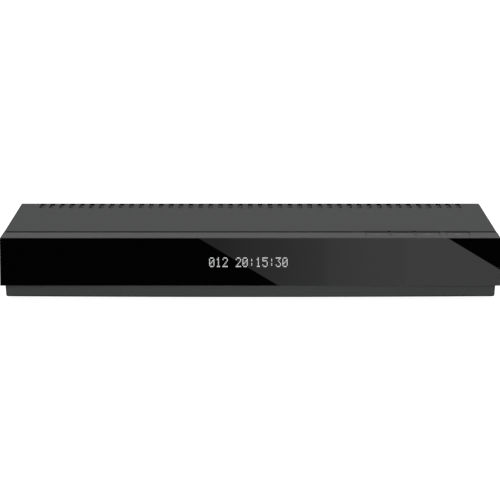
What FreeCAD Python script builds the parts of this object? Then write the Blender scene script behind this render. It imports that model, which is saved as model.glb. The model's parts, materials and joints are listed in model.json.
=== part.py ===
import FreeCAD, Part
import os

# A compact satellite television receiver. Millimetres, +Z up, +Y towards the back.
# The origin lies on the surface that the feet stand on, under the middle of the overall length and width.

# ---------------------------------------------------------------- case
case_width = 280.0        # across the cover and the window
case_depth = 150.0        # front of the window to the back of the cover
foot_height = 3.0         # feet below the plinth
plinth_height = 6.5       # plinth below the window
window_height = 27.08
window_drop = 0.05        # deck's surface down to the window's upper edge
cover_step = 0.32         # the cover's top above the bezel's deck
plinth_inset = 2.45       # the plinth's sides in from the cover's
deck_depth = 22.5         # front of the window to the seam behind the deck
seam_gap = 1.9            # between the deck and the cover
cover_sheet = 0.8
tray_sheet = 0.8
rear_sheet = 1.0
bend_radius = 1.4         # outside radius of the cover's folds
fit_gap = 0.1             # between folded sheets that lie on each other
cover_flange = 3.5        # how far the cover folds down at the back
ear_width = 13.0          # screw ears of that fold
ear_height = 10.0
ear_inset = 15.0          # outer ears in from the case's sides
middle_ear_x = 4.0
ear_screw_drop = 6.0      # cover's top to the screws in those ears
tray_side_rise = 11.0     # tray's sides above the plinth
panel_foot = 8.0          # rear panel's foot on the tray

# ---------------------------------------------------------------- vents
roof_slot_width = 2.7
roof_slot_length = 22.0
roof_slot_pitch = 6.0
roof_slot_back = 1.2      # sheet left between the slots and the back face
roof_slot_margin = 11.5   # case's side to the first slot, at the least
side_slot_width = 2.6
side_slot_height = 9.0
side_slot_pitch = 6.0
side_slot_drop = 4.0      # cover's top to the side slots
side_slot_front = 52.0    # window's face to the first side slot
side_slot_back = 14.0     # last side slot to the cover's back
side_screw_clear = 5.5    # side screw in front of the card bay
floor_slot_width = 2.6
floor_slot_length = 30.0
floor_slot_pitch = 7.0
floor_slot_count = 11
floor_slot_x = 62.0       # middle of each group of floor slots
floor_slot_y = 84.0       # behind the window's face

# ---------------------------------------------------------------- front
window_thickness = 2.0
window_edge = 0.06        # chamfer round the window's face
tape_thickness = 0.2
tape_width = 5.0
bezel_wall = 2.0
deck_edge = 0.5           # rounding of the deck's long side edges
tongue_wall = 1.5         # lip that passes under the cover and over the tray's floor
tongue_length = 8.0
side_tongue_length = 2.0  # the lips inside the tray's sides
tongue_gap = 0.2
plinth_setback = 1.0      # plinth behind the window's face at the middle
plinth_bow = 2.7          # how much further back its ends are
plinth_draft = 0.5        # plinth's foot in from its head
plinth_edge = 0.6         # rounding of the plinth's lower edge
plinth_corner = 2.0
window_relief = 0.15      # gap under the window's lower edge

# ---------------------------------------------------------------- keys
key_depth = 12.0
key_width = 13.0
key_pitch = 14.3
key_apart = 2.7           # the last key's extra distance from the others
key_gap = 0.2             # round each key
key_setback = 1.3         # keys' back edges in front of the seam
key_recess = 2.2          # depth of the notches in the cover's front edge behind the keys
key_rim = 1.2             # key's flange past its cap, front and back, under the deck
key_rim_thickness = 1.0
key_edge = 0.25
key_corner = 0.8          # rounding of the cap's corners, seen from above
key_post_radius = 2.0
key_row_inset = 45.6      # middle of the row of keys from the case's side
key_names = ("key_channel_down", "key_channel_up", "key_ok", "key_standby")
key_board_drop = 13.0     # deck down to the top of the key board
key_board_margin = 16.2   # board past the outer keys' middles
key_board_depth = 11.0
switch_size = 6.0
switch_height = 3.5
plunger_radius = 1.7
plunger_height = 1.5      # above the switch's body
plunger_sunk = 1.0        # inside it
plunger_gap = 0.08
plunger_room = 0.8        # bore below the plunger
hanger_radius = 3.0       # posts that hold the key board
hanger_inset = 4.0        # in from the key board's ends
hanger_y = 7.5            # behind the front board

# ---------------------------------------------------------------- front board and display
board_thickness = 1.6
front_board_gap = 4.8     # bezel's front wall to the front board
front_board_left = -54.0
front_board_right_inset = 6.0
front_board_bottom = 10.0  # above the plinth's underside
front_board_top = 5.0      # below the deck
boss_radius = 3.0
boss_inset = 5.0
pilot_radius = 1.05
small_screw_radius = 1.0
small_head_radius = 2.2
small_head_height = 1.4
small_screw_length = 5.0
display_drop = 14.3       # deck down to the display's middle
display_x = -1.1
display_width = 52.0
display_height = 14.0
display_play = 0.3
display_frame_rim = 1.5
display_frame_back = 1.2
display_frame_front = 0.3  # bezel's wall to the frame
display_thickness = 2.8
receiver_x = 38.0
receiver_width = 6.0
receiver_height = 7.0
receiver_depth = 2.4
lens_radius = 2.2
lens_play = 0.3
light_x = 47.0
light_radius = 1.5
light_play = 0.15
light_collar = 0.8        # wider than the pipe
light_collar_thickness = 1.0
light_gap = 0.2           # pipe to the lamp and to the window
lamp_depth = 2.2
lamp_height = 3.2

# ---------------------------------------------------------------- main board
standoff_height = 5.6
standoff_radius = 3.0
main_board_side = 4.0     # board to the tray's side
main_board_front = 36.5   # board behind the window's face
main_board_back = 0.6     # board to the rear panel
main_hole_inset = 4.5
screw_radius = 1.5        # M3
screw_play = 0.1          # clearance hole over the screw
thread_play = 0.05
head_radius = 2.8
head_height = 1.3
screw_length = 6.0
recess_width = 0.8        # cross recess in a screw's head
recess_share = 0.6        # of the head's height
recess_reach = 0.6        # of the head's radius
head_rounding = 0.4       # of the head's height

# ---------------------------------------------------------------- feet
foot_radius = 7.0
foot_edge = 0.8
foot_stem_radius = 2.5
foot_stem_height = 2.0
foot_inset_x = 24.0
foot_front = 40.0         # behind the window's face
foot_back = 26.0          # in front of the cover's back

# ---------------------------------------------------------------- card bay on the right side
card_width = 54.0
card_thickness = 5.0
card_play = 0.4           # each side of the card, and above and below it
cage_sheet = 0.6
cage_length = 82.0
cage_lift = 6.2           # board up to the cage's underside
cage_leg = 4.0
cage_leg_lap = 1.8        # legs lapped on the cage's sides
card_y = 74.0             # card's middle line behind the window's face
header_depth = 6.0
header_pin = 0.44
header_pin_pitch = 1.27
header_pin_count = 34
header_pin_length = 2.0
header_row_offset = 0.635
reader_length = 58.0
reader_width = 55.4
reader_inset = 0.6        # from the board's edge
reader_slot_depth = 50.0
reader_height = 4.6
chip_card_width = 54.4
chip_card_slot = 1.2
bay_height = 15.2
bay_rim = 1.4
bay_rim_thickness = 1.5
bay_depth = 4.2
bay_gap = 0.15
bay_flush = 0.1           # bay frame inside the cover's face
bay_lift = 1.0            # frame's middle above the middle of the two card slots
bay_margin = 2.2          # frame round the slots
button_width = 6.5
button_height = 4.0
button_gap = 0.3
button_length = 9.0
button_edge = 0.4
rod_width = 3.0
rod_height = 2.4
rod_gap = 2.7             # rod to the cage
guide_length = 5.0
guide_wall = 0.8
guide_gap = 0.1
guide_cover = 1.0         # guide's cheeks above the rod
guide_places = (0.25, 0.8)  # shares of the cage's length, from its inner end
lever_thickness = 1.0
lever_gap = 0.2
lever_width = 6.0
lever_end = 2.0           # past the slot
lever_corner = 2.0
lever_pin_radius = 1.5
lever_pin_gap = 0.06
rivet_head = 1.1          # wider than the pin
rivet_head_thickness = 0.8
rivet_gap = 0.1
rod_pin_radius = 1.2
rod_pin_gap = 0.3
rod_arm = 15.0            # lever's pivot to the rod's pin
card_arm = 30.0           # lever's pivot to the tab that pushes the card
eject_travel = 4.0
lever_inset = 9.0         # pivot from the cage's inner end
tab_width = 3.0
tab_thickness = 1.2
tab_drop = 4.0
tab_play = 0.6            # cage's slot round the tab's sweep

# ---------------------------------------------------------------- sockets on the rear panel
socket_reach = 10.0       # tallest sockets behind the cover's back
socket_gap = 0.3          # panel's cut-outs round the sockets
socket_setback = 0.4      # tuner and jack bodies inside the panel
socket_proud = 0.3        # faces of the other sockets outside the panel
insert_gap = 0.05         # round an insert in its shell
tuner_side = 10.0         # case's side to the tuner
tuner_width = 46.0
tuner_depth = 22.0
tuner_height = 14.0
tuner_corner = 1.5
aerial_pitch = 19.0
aerial_radius = 4.7
aerial_core_radius = 3.3
aerial_edge = 0.4
relief_width = 0.7        # groove behind a socket's free outer wall
relief_depth = 0.4
relief_gap = 0.1          # in front of the nut or the ring
aerial_core_depth = 9.0
aerial_hole_radius = 0.6
aerial_hole_depth = 6.0
aerial_core_recess = 0.3
nut_flats = 11.0
nut_thickness = 2.4
nut_gap = 0.05
video_space = 4.5         # tuner to this socket; these spaces share what the case's width leaves
video_width = 15.0
video_height = 6.0
video_depth = 11.5
video_sheet = 0.45
video_chamfer = 1.6
video_tongue_width = 11.2
video_tongue_height = 1.1
video_tongue_length = 7.5
video_back = 2.0
network_space = 6.5       # video socket to this one
network_width = 16.0
network_height = 13.4
network_depth = 20.0
network_mouth = 11.8
network_mouth_height = 7.4
network_mouth_depth = 13.0
network_tab_width = 6.2
network_tab_height = 2.4
network_floor = 1.6       # jack's floor under the mouth
network_contacts = 8
network_contact_pitch = 1.02
network_contact_width = 0.46
network_contact_drop = 1.4
network_contact_length = 8.0
bus_space = 6.3           # network socket to this one
bus_width = 13.4
bus_height = 15.6
bus_depth = 17.0
bus_sheet = 0.4
bus_mouth_height = 5.2
bus_tongue_height = 1.9
bus_tongue_width = 11.0
bus_tongue_length = 9.0
bus_mouth_depth = 12.0
bus_back = 1.5
audio_space = 6.1         # bus socket to the audio block
audio_pitch = 14.0
audio_block_depth = 11.0
audio_block_height = 13.0
audio_block_margin = 6.2
audio_block_edge = 1.0
audio_centre = 7.4        # above the board
audio_ring_radius = 5.1
audio_ring_reach = 1.6    # outside the panel
audio_sleeve_radius = 4.15
audio_core_radius = 3.2
audio_edge = 0.3
audio_bore_radius = 1.6
audio_reach = 9.0         # sleeve past the panel
audio_bore_depth = 8.0
audio_core_floor = 1.0
optical_space = 5.9       # audio block to this socket
optical_width = 9.8
optical_height = 10.2
optical_depth = 13.0
optical_lip = 0.6
optical_mouth = 7.6
optical_cavity = 8.4
optical_cavity_depth = 9.6
optical_emitter_radius = 1.6
optical_emitter_height = 1.2
shutter_thickness = 0.7
shutter_gap = 0.3         # shutter to the cavity's walls and lip
shutter_pin_radius = 0.4
shutter_head_radius = 0.5  # round the pins
shutter_pin_gap = 0.06
shutter_pin_stub = 0.45   # pin inside each wall
shutter_pin_drop = 0.8    # cavity's roof down to the pin
scart_space = 3.1         # optical socket to this one
scart_width = 47.0
scart_height = 20.0
scart_depth = 16.0
scart_flange = 1.5        # rim outside the panel
scart_block_width = 38.0
scart_block_height = 10.4
scart_groove = 1.4
scart_groove_depth = 9.0
scart_corner = 4.5
scart_pin_count = 10
scart_pin_pitch = 3.4
scart_pin_slot = 0.9
scart_pin_length = 2.6
scart_row_offset = 2.6
scart_shift = 0.6         # pin rows away from the cut corner
scart_flange_thickness = 1.2
switch_space = 2.2        # scart socket to the switch
rocker_body_width = 19.0
rocker_body_height = 12.8
rocker_body_depth = 13.0
rocker_flange = 1.3
rocker_flange_thickness = 1.8
rocker_length = 15.4
rocker_width = 9.6
rocker_gap = 0.35         # rocker to the hollow's long sides
rocker_end_gap = 0.8      # and to its ends, for the tilt
rocker_thickness = 4.2
rocker_pin_radius = 1.2
rocker_pin_gap = 0.06
rocker_pin_stub = 1.0
rocker_tilt = 9.0         # either side of level
rocker_relief = 0.8       # back of the rocker, at its ends
rocker_rise = 1.0         # face of the rocker, at its ends
rocker_sunk = 0.6         # rocker's middle below the flange's face
rocker_room = 3.0         # hollow behind the rocker's pin, past its thickness
rocker_lift = 1.0         # body above the board
inlet_space = 3.6         # switch to the power inlet
inlet_side = 10.4         # power inlet to the case's other side
inlet_width = 9.2
inlet_height = 11.0
inlet_depth = 13.0
inlet_bore_radius = 2.8
inlet_bore_depth = 9.5
inlet_pin_radius = 1.0
inlet_pin_short = 1.0     # pin's tip inside the mouth

# ---------------------------------------------------------------- parts on the main board
chip_size = 27.0
chip_height = 2.0
chip_x = -14.0
chip_y = 84.0
sink_size = 40.0
sink_base = 2.0
sink_height = 13.0
sink_fins = 9
sink_fin = 1.3
memory_width = 9.0
memory_length = 13.0
memory_height = 1.1
memory_pitch = 12.0
memory_count = 4
memory_gap = 5.0          # heat sink to the memory chips
can_radius = 4.0
can_height = 12.0
can_pitch = 11.0
can_count = 4
can_edge = 0.8
can_x = 16.6              # in from the main board's -X side
can_y = 78.0
choke_size = 11.0
choke_height = 5.0
choke_pitch = 15.0
choke_count = 3
choke_x = 35.6            # in from the main board's -X side
choke_y = 78.0
choke_edge = 1.0
ribbon_x = -30.0
ribbon_width = 14.0
ribbon_thickness = 0.3
ribbon_socket_width = 18.0
ribbon_socket_depth = 4.0
ribbon_socket_height = 2.6
ribbon_socket_y = 43.0    # behind the window's face
ribbon_drop = 12.0        # deck down to the ribbon at the front board
ribbon_rise = 1.4         # ribbon above the main board
ribbon_bend = 5.0

over = 1.0                # how far cutters pass the faces that they cut

# ---------------------------------------------------------------- levels and faces that follow
z_plinth = foot_height
z_slab = z_plinth + plinth_height
z_window = z_slab + window_height
z_deck = z_window + window_drop
z_top = z_deck + cover_step
z_floor = z_plinth + tray_sheet
z_board = z_floor + standoff_height
z_parts = z_board + board_thickness

half_case = case_width / 2
half_plinth = half_case - plinth_inset
half_cover_inside = half_case - cover_sheet
half_tray_top = half_cover_inside - fit_gap

y_face = -(case_depth + socket_reach) / 2
y_back = y_face + case_depth
y_wall = y_face + window_thickness + tape_thickness
y_seam = y_face + deck_depth
y_cover = y_seam + seam_gap
y_front_board = y_wall + bezel_wall + front_board_gap
y_front_board_back = y_front_board + board_thickness
y_panel_out = y_back - cover_sheet - fit_gap
y_panel_in = y_panel_out - rear_sheet
y_board_front = y_face + main_board_front
y_board_back = y_panel_in - main_board_back
half_board = half_plinth - tray_sheet - main_board_side

x_key_row = half_case - key_row_inset
key_count = len(key_names)
half_key_row = ((key_count - 1) * key_pitch + key_apart) / 2
y_key_back = y_seam - key_setback
y_key_front = y_key_back - key_depth
y_key = (y_key_front + y_key_back) / 2
z_tongue = z_top - cover_sheet - tongue_gap
z_rim = min(z_deck - bezel_wall, z_tongue - tongue_wall) - key_gap
z_key_board = z_deck - key_board_drop
z_plunger = z_key_board + switch_height + plunger_height
half_key_board = half_key_row + key_board_margin
y_hanger = y_front_board_back + hanger_y
x_front_board_end = half_case - front_board_right_inset
z_display = z_deck - display_drop
z_front_board = z_plinth + front_board_bottom
z_front_board_top = z_deck - front_board_top
x_ears = (-half_case + ear_inset, middle_ear_x, half_case - ear_inset)
z_ear_screw = z_top - ear_screw_drop

half_cage = card_width / 2 + card_play + cage_sheet
y_card = y_face + card_y
z_cage = z_parts + cage_lift
z_cage_top = z_cage + card_thickness + 2 * card_play + 2 * cage_sheet
x_cage_mouth = half_case - bay_flush - bay_depth
x_cage_end = x_cage_mouth - cage_length
y_rod = y_card + half_cage + rod_gap + rod_width / 2
z_rod = (z_cage + z_cage_top) / 2
x_lever = x_cage_end + lever_inset
y_lever = y_rod - rod_arm
z_lever = z_cage_top + lever_gap
y_bay_front = y_card - card_width / 2 - card_play - bay_margin
y_bay_back = y_rod + button_width / 2 + bay_margin
z_reader_slot = z_parts + reader_height / 2
z_bay = (z_reader_slot + z_rod) / 2 + bay_lift
x_reader = half_board - reader_inset

rocker_flange_width = rocker_body_width + 2 * rocker_flange
audio_block_width = 2 * (audio_pitch + audio_block_margin)
scart_flange_width = scart_width + 2 * scart_flange
socket_widths = (tuner_width, video_width, network_width, bus_width, audio_block_width, optical_width,
                 scart_flange_width, rocker_flange_width, inlet_width)
socket_spaces = (video_space, network_space, bus_space, audio_space, optical_space, scart_space,
                 switch_space, inlet_space)
row_length = case_width - tuner_side - inlet_side
space_stretch = (row_length - sum(socket_widths)) / sum(socket_spaces)


def socket_middle(number):
    """Middle of a socket of the rear row, counted from the case's +X side."""
    before = sum(socket_widths[:number]) + sum(socket_spaces[:number]) * space_stretch
    return half_case - tuner_side - before - socket_widths[number] / 2


socket_middles = [socket_middle(i) for i in range(len(socket_widths))]
x_tuner, x_video, x_network, x_bus, x_audio, x_optical, x_scart, x_switch, x_inlet = socket_middles
x_cans = -half_board + can_x
x_chokes = -half_board + choke_x

z_aerial = z_parts + tuner_height / 2
z_audio = z_parts + audio_centre
z_rocker = z_parts + rocker_body_height / 2 + rocker_lift
y_socket = y_panel_out + socket_proud
y_jack = y_panel_in - socket_setback
y_rocker_face = y_panel_out + rocker_flange_thickness
y_rocker_pin = y_rocker_face - rocker_sunk - rocker_thickness / 2


def at(x, y, z):
    return FreeCAD.Vector(x, y, z)


X = at(1, 0, 0)
Y = at(0, 1, 0)
Z = at(0, 0, 1)


def box(x0, x1, y0, y1, z0, z1):
    return Part.makeBox(x1 - x0, y1 - y0, z1 - z0, at(x0, y0, z0))


def block(x, y, z, width, depth, height):
    """A box centred on x and y that stands on z."""
    return box(x - width / 2, x + width / 2, y - depth / 2, y + depth / 2, z, z + height)


def rod(radius, start, axis, length):
    return Part.makeCylinder(radius, length, start, axis)


def drill(radius, middle, axis, length):
    """A round cutter that passes both ends of a length centred on a point."""
    return rod(radius, middle - axis * (length / 2 + over), axis, length + 2 * over)


def fuse(first, *others):
    return first.fuse(list(others)).removeSplitter() if others else first


def near(a, b):
    return abs(a - b) < 1e-6


def edges_where(shape, test):
    """Edges whose every vertex passes the test."""
    return [e for e in shape.Edges if all(test(v.Point) for v in e.Vertexes)]


def long_edges(shape, axis, test=lambda p: True):
    """Straight edges along an axis whose vertices pass the test."""
    found = []
    for edge in edges_where(shape, test):
        if len(edge.Vertexes) == 2:
            span = edge.Vertexes[1].Point - edge.Vertexes[0].Point
            if span.Length > 1e-6 and near(abs(span.normalize().dot(axis)), 1.0):
                found.append(edge)
    return found


def round_slot(x, y, width, length, z0, z1):
    """An upright slot cutter with round ends, long along Y."""
    straight = length - width
    ends = [rod(width / 2, at(x, y + s * straight / 2, z0), Z, z1 - z0) for s in (-1, 1)]
    return fuse(block(x, y, z0, width, straight, z1 - z0), *ends)


def prism(points, direction):
    """A closed polygon of points, extruded."""
    wire = Part.makePolygon(points + [points[0]])
    return Part.Face(wire).extrude(direction)


def row(count, pitch, middle=0.0):
    return [middle + (i - (count - 1) / 2) * pitch for i in range(count)]


def screw(head, out, head_r, head_h, shank_r, length):
    """A pan head screw with a cross recess. Its head lies on the point, on the side that out points to."""
    body = fuse(rod(head_r, head, out, head_h), rod(shank_r, head - out * length, out, length))
    rim = [e for e in body.Edges if near((e.BoundBox.Center - head).dot(out), head_h)]
    body = body.makeFillet(head_h * head_rounding, rim)
    side = X if near(out.dot(X), 0) else Y
    across = out.cross(side)
    floor = head + out * head_h * (1 - recess_share)
    half = head_r * recess_reach
    for a, b in ((side, across), (across, side)):
        corner = floor - a * half - b * recess_width / 2
        points = [corner, corner + a * half * 2]
        points += [points[1] + b * recess_width, corner + b * recess_width]
        body = body.cut(prism(points, out * head_h))
    return body


def machine_screw(head, out, length=screw_length):
    return screw(head, out, head_radius, head_height, screw_radius, length)


def small_screw(head, out):
    return screw(head, out, small_head_radius, small_head_height, small_screw_radius, small_screw_length)


# ---------------------------------------------------------------- places

def roof_slot_places():
    room = case_width - 2 * roof_slot_margin - roof_slot_width
    return row(int(room // roof_slot_pitch) + 1, roof_slot_pitch)


def side_slot_places(first):
    last = y_back - side_slot_back
    count = max(0, int((last - first) // side_slot_pitch) + 1)
    return [last - i * side_slot_pitch for i in range(count)]


def side_screw_places():
    """Where the cover is screwed to the tray's sides, clear of the card bay."""
    z = z_slab + tray_side_rise / 2
    ys = (y_bay_front - side_screw_clear, y_back - side_slot_back)
    return [(s, at(s * half_case, y, z)) for s in (-1, 1) for y in ys]


def foot_places():
    x = half_plinth - foot_inset_x
    return [(s * x, y) for s in (-1, 1) for y in (y_face + foot_front, y_back - foot_back)]


def standoff_places():
    """Along the main board's front edge and in front of the tuner: its sides and its middle."""
    x = half_board - main_hole_inset
    ys = (y_board_front + main_hole_inset, y_board_back - tuner_depth - main_hole_inset)
    return [(sx * x, y) for sx in (-1, 0, 1) for y in ys]


def tongue_screw_places():
    x = half_plinth - 2 * foot_inset_x
    return [(s * x, y_cover + tongue_length / 2) for s in (-1, 0, 1)]


def panel_foot_screw_places():
    x = half_plinth - 2 * foot_inset_x
    return [(s * x, y_panel_in - panel_foot / 2) for s in (-1, 1)]


def boss_places():
    xs = (front_board_left + boss_inset, x_front_board_end - boss_inset)
    return [(x, z) for x in xs for z in (z_front_board + boss_inset, z_front_board_top - boss_inset)]


def key_places():
    """Middles of the keys across the deck. The last one stands apart from the others."""
    places = row(key_count, key_pitch, x_key_row - key_apart / 2)
    return places[:-1] + [places[-1] + key_apart]


def key_notches():
    """Middle and width of each notch behind the keys: one for the close keys, one for the last."""
    places = key_places()
    groups = [group for group in (places[:-1], places[-1:]) if group]
    return [((group[0] + group[-1]) / 2, group[-1] - group[0] + key_width) for group in groups]


def hanger_places():
    x = half_key_board - hanger_inset
    return [(x_key_row + s * x, y_hanger) for s in (-1, 1)]


def aerial_places():
    return row(2, aerial_pitch, x_tuner)


def audio_places():
    return row(3, audio_pitch, x_audio)


# ---------------------------------------------------------------- case

def card_bay_opening(x0, x1):
    return box(x0, x1, y_bay_front - bay_gap, y_bay_back + bay_gap,
               z_bay - bay_height / 2 - bay_gap, z_bay + bay_height / 2 + bay_gap)


def cover_shell():
    """One folded sheet: roof, two sides and a fold down the back."""
    z_under = z_top - cover_sheet
    y_inside = y_back - cover_sheet

    def folded(solid, top, back, radius):
        edges = long_edges(solid, Y, lambda p: near(p.z, top))
        edges += long_edges(solid, X, lambda p: near(p.z, top) and near(p.y, back))
        return solid.makeFillet(radius, edges)
    outside = folded(box(-half_case, half_case, y_cover, y_back, z_slab, z_top), z_top, y_back, bend_radius)
    inside = box(-half_cover_inside, half_cover_inside, y_cover - over, y_inside, z_slab - over, z_under)
    return outside.cut(folded(inside, z_under, y_inside, bend_radius - cover_sheet))


def top_cover():
    """The folded sheet with three screw ears on its back fold, roof slots, side slots and the card bay."""
    z_under = z_top - cover_sheet
    below = box(-half_cover_inside, half_cover_inside, y_back - cover_sheet - over, y_back + over,
                z_slab - over, z_top - cover_flange)
    ears = [block(x, y_back, z_top - ear_height, ear_width, 2 * (cover_sheet + over), ear_height)
            for x in x_ears]
    cuts = [below.cut(ears)]
    y_slot = y_back - roof_slot_back - roof_slot_length / 2
    for x in roof_slot_places():
        cuts.append(round_slot(x, y_slot, roof_slot_width, roof_slot_length, z_under - over, z_top + over))
    z_slot = z_top - side_slot_drop - side_slot_height
    for side, first in ((-1, y_face + side_slot_front), (1, y_bay_back + side_slot_pitch)):
        for y in side_slot_places(first):
            cuts.append(block(side * half_case, y, z_slot, 2 * (cover_sheet + over), side_slot_width,
                              side_slot_height))
    for _, place in side_screw_places():
        cuts.append(drill(screw_radius + screw_play, place, X, 2 * cover_sheet))
    for x in x_ears:
        cuts.append(drill(screw_radius + screw_play, at(x, y_back, z_ear_screw), Y, 2 * cover_sheet))
    for x, width in key_notches():
        cuts.append(block(x, y_cover, z_under - over, width, 2 * key_recess, cover_sheet + 2 * over))
    cuts.append(card_bay_opening(half_cover_inside - over, half_case + over))
    return cover_shell().cut(cuts)


def tray_side(side):
    """Plinth side, ledge outwards and the side that stands inside the cover."""
    y0 = y_seam + tongue_gap

    def wall(xa, xb, ya, za, zb):
        return box(min(side * xa, side * xb), max(side * xa, side * xb), ya, y_panel_out, za, zb)
    low = wall(half_plinth - tray_sheet, half_plinth, y0, z_plinth, z_slab)
    ledge = wall(half_plinth - tray_sheet, half_tray_top, y0, z_slab - tray_sheet, z_slab)
    high = wall(half_tray_top - tray_sheet, half_tray_top, y_cover, z_slab - tray_sheet,
                z_slab + tray_side_rise)
    return fuse(low, ledge, high)


def base_tray():
    """Folded sheet: floor, plinth sides, ledges and the sides that the cover is screwed to."""
    floor = box(-half_plinth, half_plinth, y_seam + tongue_gap, y_panel_out, z_plinth, z_floor)
    tray = fuse(floor, tray_side(-1), tray_side(1))
    cuts = []
    for x, y in foot_places():
        cuts.append(drill(foot_stem_radius + fit_gap, at(x, y, z_plinth), Z, 2 * tray_sheet))
    for x, y in tongue_screw_places() + panel_foot_screw_places():
        cuts.append(drill(screw_radius + screw_play, at(x, y, z_plinth), Z, 2 * tray_sheet))
    for side in (-1, 1):
        for x in row(floor_slot_count, floor_slot_pitch, side * floor_slot_x):
            cuts.append(round_slot(x, y_face + floor_slot_y, floor_slot_width, floor_slot_length,
                                   z_plinth - over, z_floor + over))
    for _, place in side_screw_places():
        cuts.append(drill(screw_radius + thread_play, place, X, 4 * tray_sheet))
    cuts.append(card_bay_opening(half_plinth - over, half_case))
    return tray.cut(cuts)


def panel_plate():
    """The rear panel's plate, wider above the plinth and above the tray's sides, and its foot."""
    z_head = z_top - bend_radius
    low = half_plinth - tray_sheet - fit_gap
    middle = half_tray_top - tray_sheet - fit_gap
    wide = half_cover_inside - fit_gap

    def plate(half, z0, z1):
        return box(-half, half, y_panel_in, y_panel_out, z0, z1)
    foot = box(-low, low, y_panel_in - panel_foot, y_panel_out, z_floor, z_floor + rear_sheet)
    return fuse(plate(low, z_floor, z_head), plate(middle, z_slab + fit_gap, z_head),
                plate(wide, z_slab + tray_side_rise + fit_gap, z_head), foot)


def panel_window(x, z, width, height):
    """A cutter through the rear panel round a socket that stands on z."""
    return box(x - width / 2 - socket_gap, x + width / 2 + socket_gap, y_panel_in - over, y_panel_out + over,
               z - socket_gap, z + height + socket_gap)


def panel_hole(x, z, radius):
    return drill(radius, at(x, y_panel_in, z), Y, 2 * rear_sheet)


def rear_panel():
    """The plate that the sockets pass through, with a foot screwed to the tray's floor."""
    cuts = [panel_hole(x, z_aerial, aerial_radius + socket_gap) for x in aerial_places()]
    cuts += [panel_hole(x, z_audio, audio_ring_radius + socket_gap) for x in audio_places()]
    cuts += [panel_hole(x, z_ear_screw, screw_radius + thread_play) for x in x_ears]
    cuts.append(panel_window(x_video, z_parts, video_width, video_height))
    cuts.append(panel_window(x_network, z_parts, network_width, network_height))
    cuts.append(panel_window(x_bus, z_parts, bus_width, bus_height))
    cuts.append(panel_window(x_optical, z_parts, optical_width, optical_height))
    cuts.append(panel_window(x_scart, z_parts, scart_width, scart_height))
    cuts.append(panel_window(x_switch, z_rocker - rocker_body_height / 2, rocker_body_width,
                             rocker_body_height))
    cuts.append(panel_window(x_inlet, z_parts, inlet_width, inlet_height))
    for x, y in panel_foot_screw_places():
        cuts.append(drill(screw_radius + thread_play, at(x, y, z_floor), Z, 2 * rear_sheet))
    return panel_plate().cut(cuts)


def rubber_feet():
    feet = []
    for x, y in foot_places():
        pad = rod(foot_radius, at(x, y, 0), Z, foot_height)
        pad = pad.makeChamfer(foot_edge, edges_where(pad, lambda p: near(p.z, 0)))
        feet.append(fuse(pad, rod(foot_stem_radius, at(x, y, foot_height), Z, foot_stem_height)))
    return feet


def case_screws():
    """Hold the cover to the tray's sides and to the rear panel."""
    screws = [machine_screw(place, X * side) for side, place in side_screw_places()]
    return screws + [machine_screw(at(x, y_back, z_ear_screw), Y) for x in x_ears]


def underside_screws():
    places = tongue_screw_places() + panel_foot_screw_places()
    return [machine_screw(at(x, y, z_plinth), -Z, tray_sheet + tongue_wall) for x, y in places]


# ---------------------------------------------------------------- front

def plinth_outline(half, z):
    """Plan of the plinth at a height: straight sides and a bowed front."""
    y_end = y_face + plinth_setback + plinth_bow
    left, right = at(-half, y_end, z), at(half, y_end, z)
    bow = Part.Arc(left, at(0, y_face + plinth_setback, z), right).toShape()
    sides = Part.makePolygon([right, at(half, y_seam, z), at(-half, y_seam, z), left])
    return Part.Wire([bow] + sides.Edges)


def near_foot(edge):
    """Whether an edge of the plinth lies on its underside, in front of the seam."""
    return all(near(v.Z, z_plinth) for v in edge.Vertexes) and edge.BoundBox.YMin < y_seam - over


def plinth():
    foot = half_plinth - plinth_draft
    solid = Part.makeLoft([plinth_outline(foot, z_plinth), plinth_outline(half_plinth, z_slab)], True, True)
    front = [e for e in solid.Edges if e.BoundBox.YMax < y_seam - over]
    corners = [e for e in front if e.BoundBox.ZLength > over and e.BoundBox.XLength < over]
    solid = solid.makeFillet(plinth_corner, corners)
    lower = [e for e in solid.Edges if e.BoundBox.ZLength < over and near_foot(e)]
    return solid.makeFillet(plinth_edge, lower)


def bezel_shell():
    """Deck and front wall behind the window, side returns and the plinth, hollow and open at the back."""
    head = box(-half_case, half_case, y_face, y_seam, z_slab, z_deck)
    head = head.makeFillet(deck_edge, long_edges(head, Y, lambda p: near(p.z, z_deck)))
    window_room = box(-half_case - over, half_case + over, y_face - over, y_wall,
                      z_slab - over, z_deck + over)
    inner = half_case - bezel_wall
    head_room = box(-inner, inner, y_wall + bezel_wall, y_seam + over,
                    z_slab + bezel_wall, z_deck - bezel_wall)
    inner = half_plinth - plinth_draft - bezel_wall
    y_room = y_face + plinth_setback + plinth_bow + bezel_wall
    plinth_room = box(-inner, inner, y_room, y_seam + over, z_plinth + bezel_wall, z_slab + bezel_wall + over)
    return fuse(head.cut(window_room), plinth()).cut([head_room, plinth_room])


def bezel_tongues():
    """Lips under the cover and over the tray's floor, and shorter ones inside the tray's sides."""
    y0, y1 = y_seam - bezel_wall, y_cover + tongue_length
    high = half_cover_inside - bezel_wall
    low = half_plinth - tray_sheet - bezel_wall
    tongues = [box(-high, high, y0, y1, z_tongue - tongue_wall, z_tongue),
               box(-low, low, y0, y1, z_floor, z_floor + tongue_wall)]
    side = half_tray_top - tray_sheet - tongue_gap
    for x in (-side, side - tongue_wall):
        tongues.append(box(x, x + tongue_wall, y0, y_cover + side_tongue_length,
                           z_slab + tongue_gap, z_tongue))
    return tongues


def bezel_posts():
    """Bosses for the front board and hangers for the key board."""
    bosses = [rod(boss_radius, at(x, y_wall, z), Y, y_front_board - y_wall) for x, z in boss_places()]
    hangers = [rod(hanger_radius, at(x, y, z_key_board), Z, z_deck - z_key_board - bezel_wall / 2)
               for x, y in hanger_places()]
    return bosses + hangers


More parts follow.
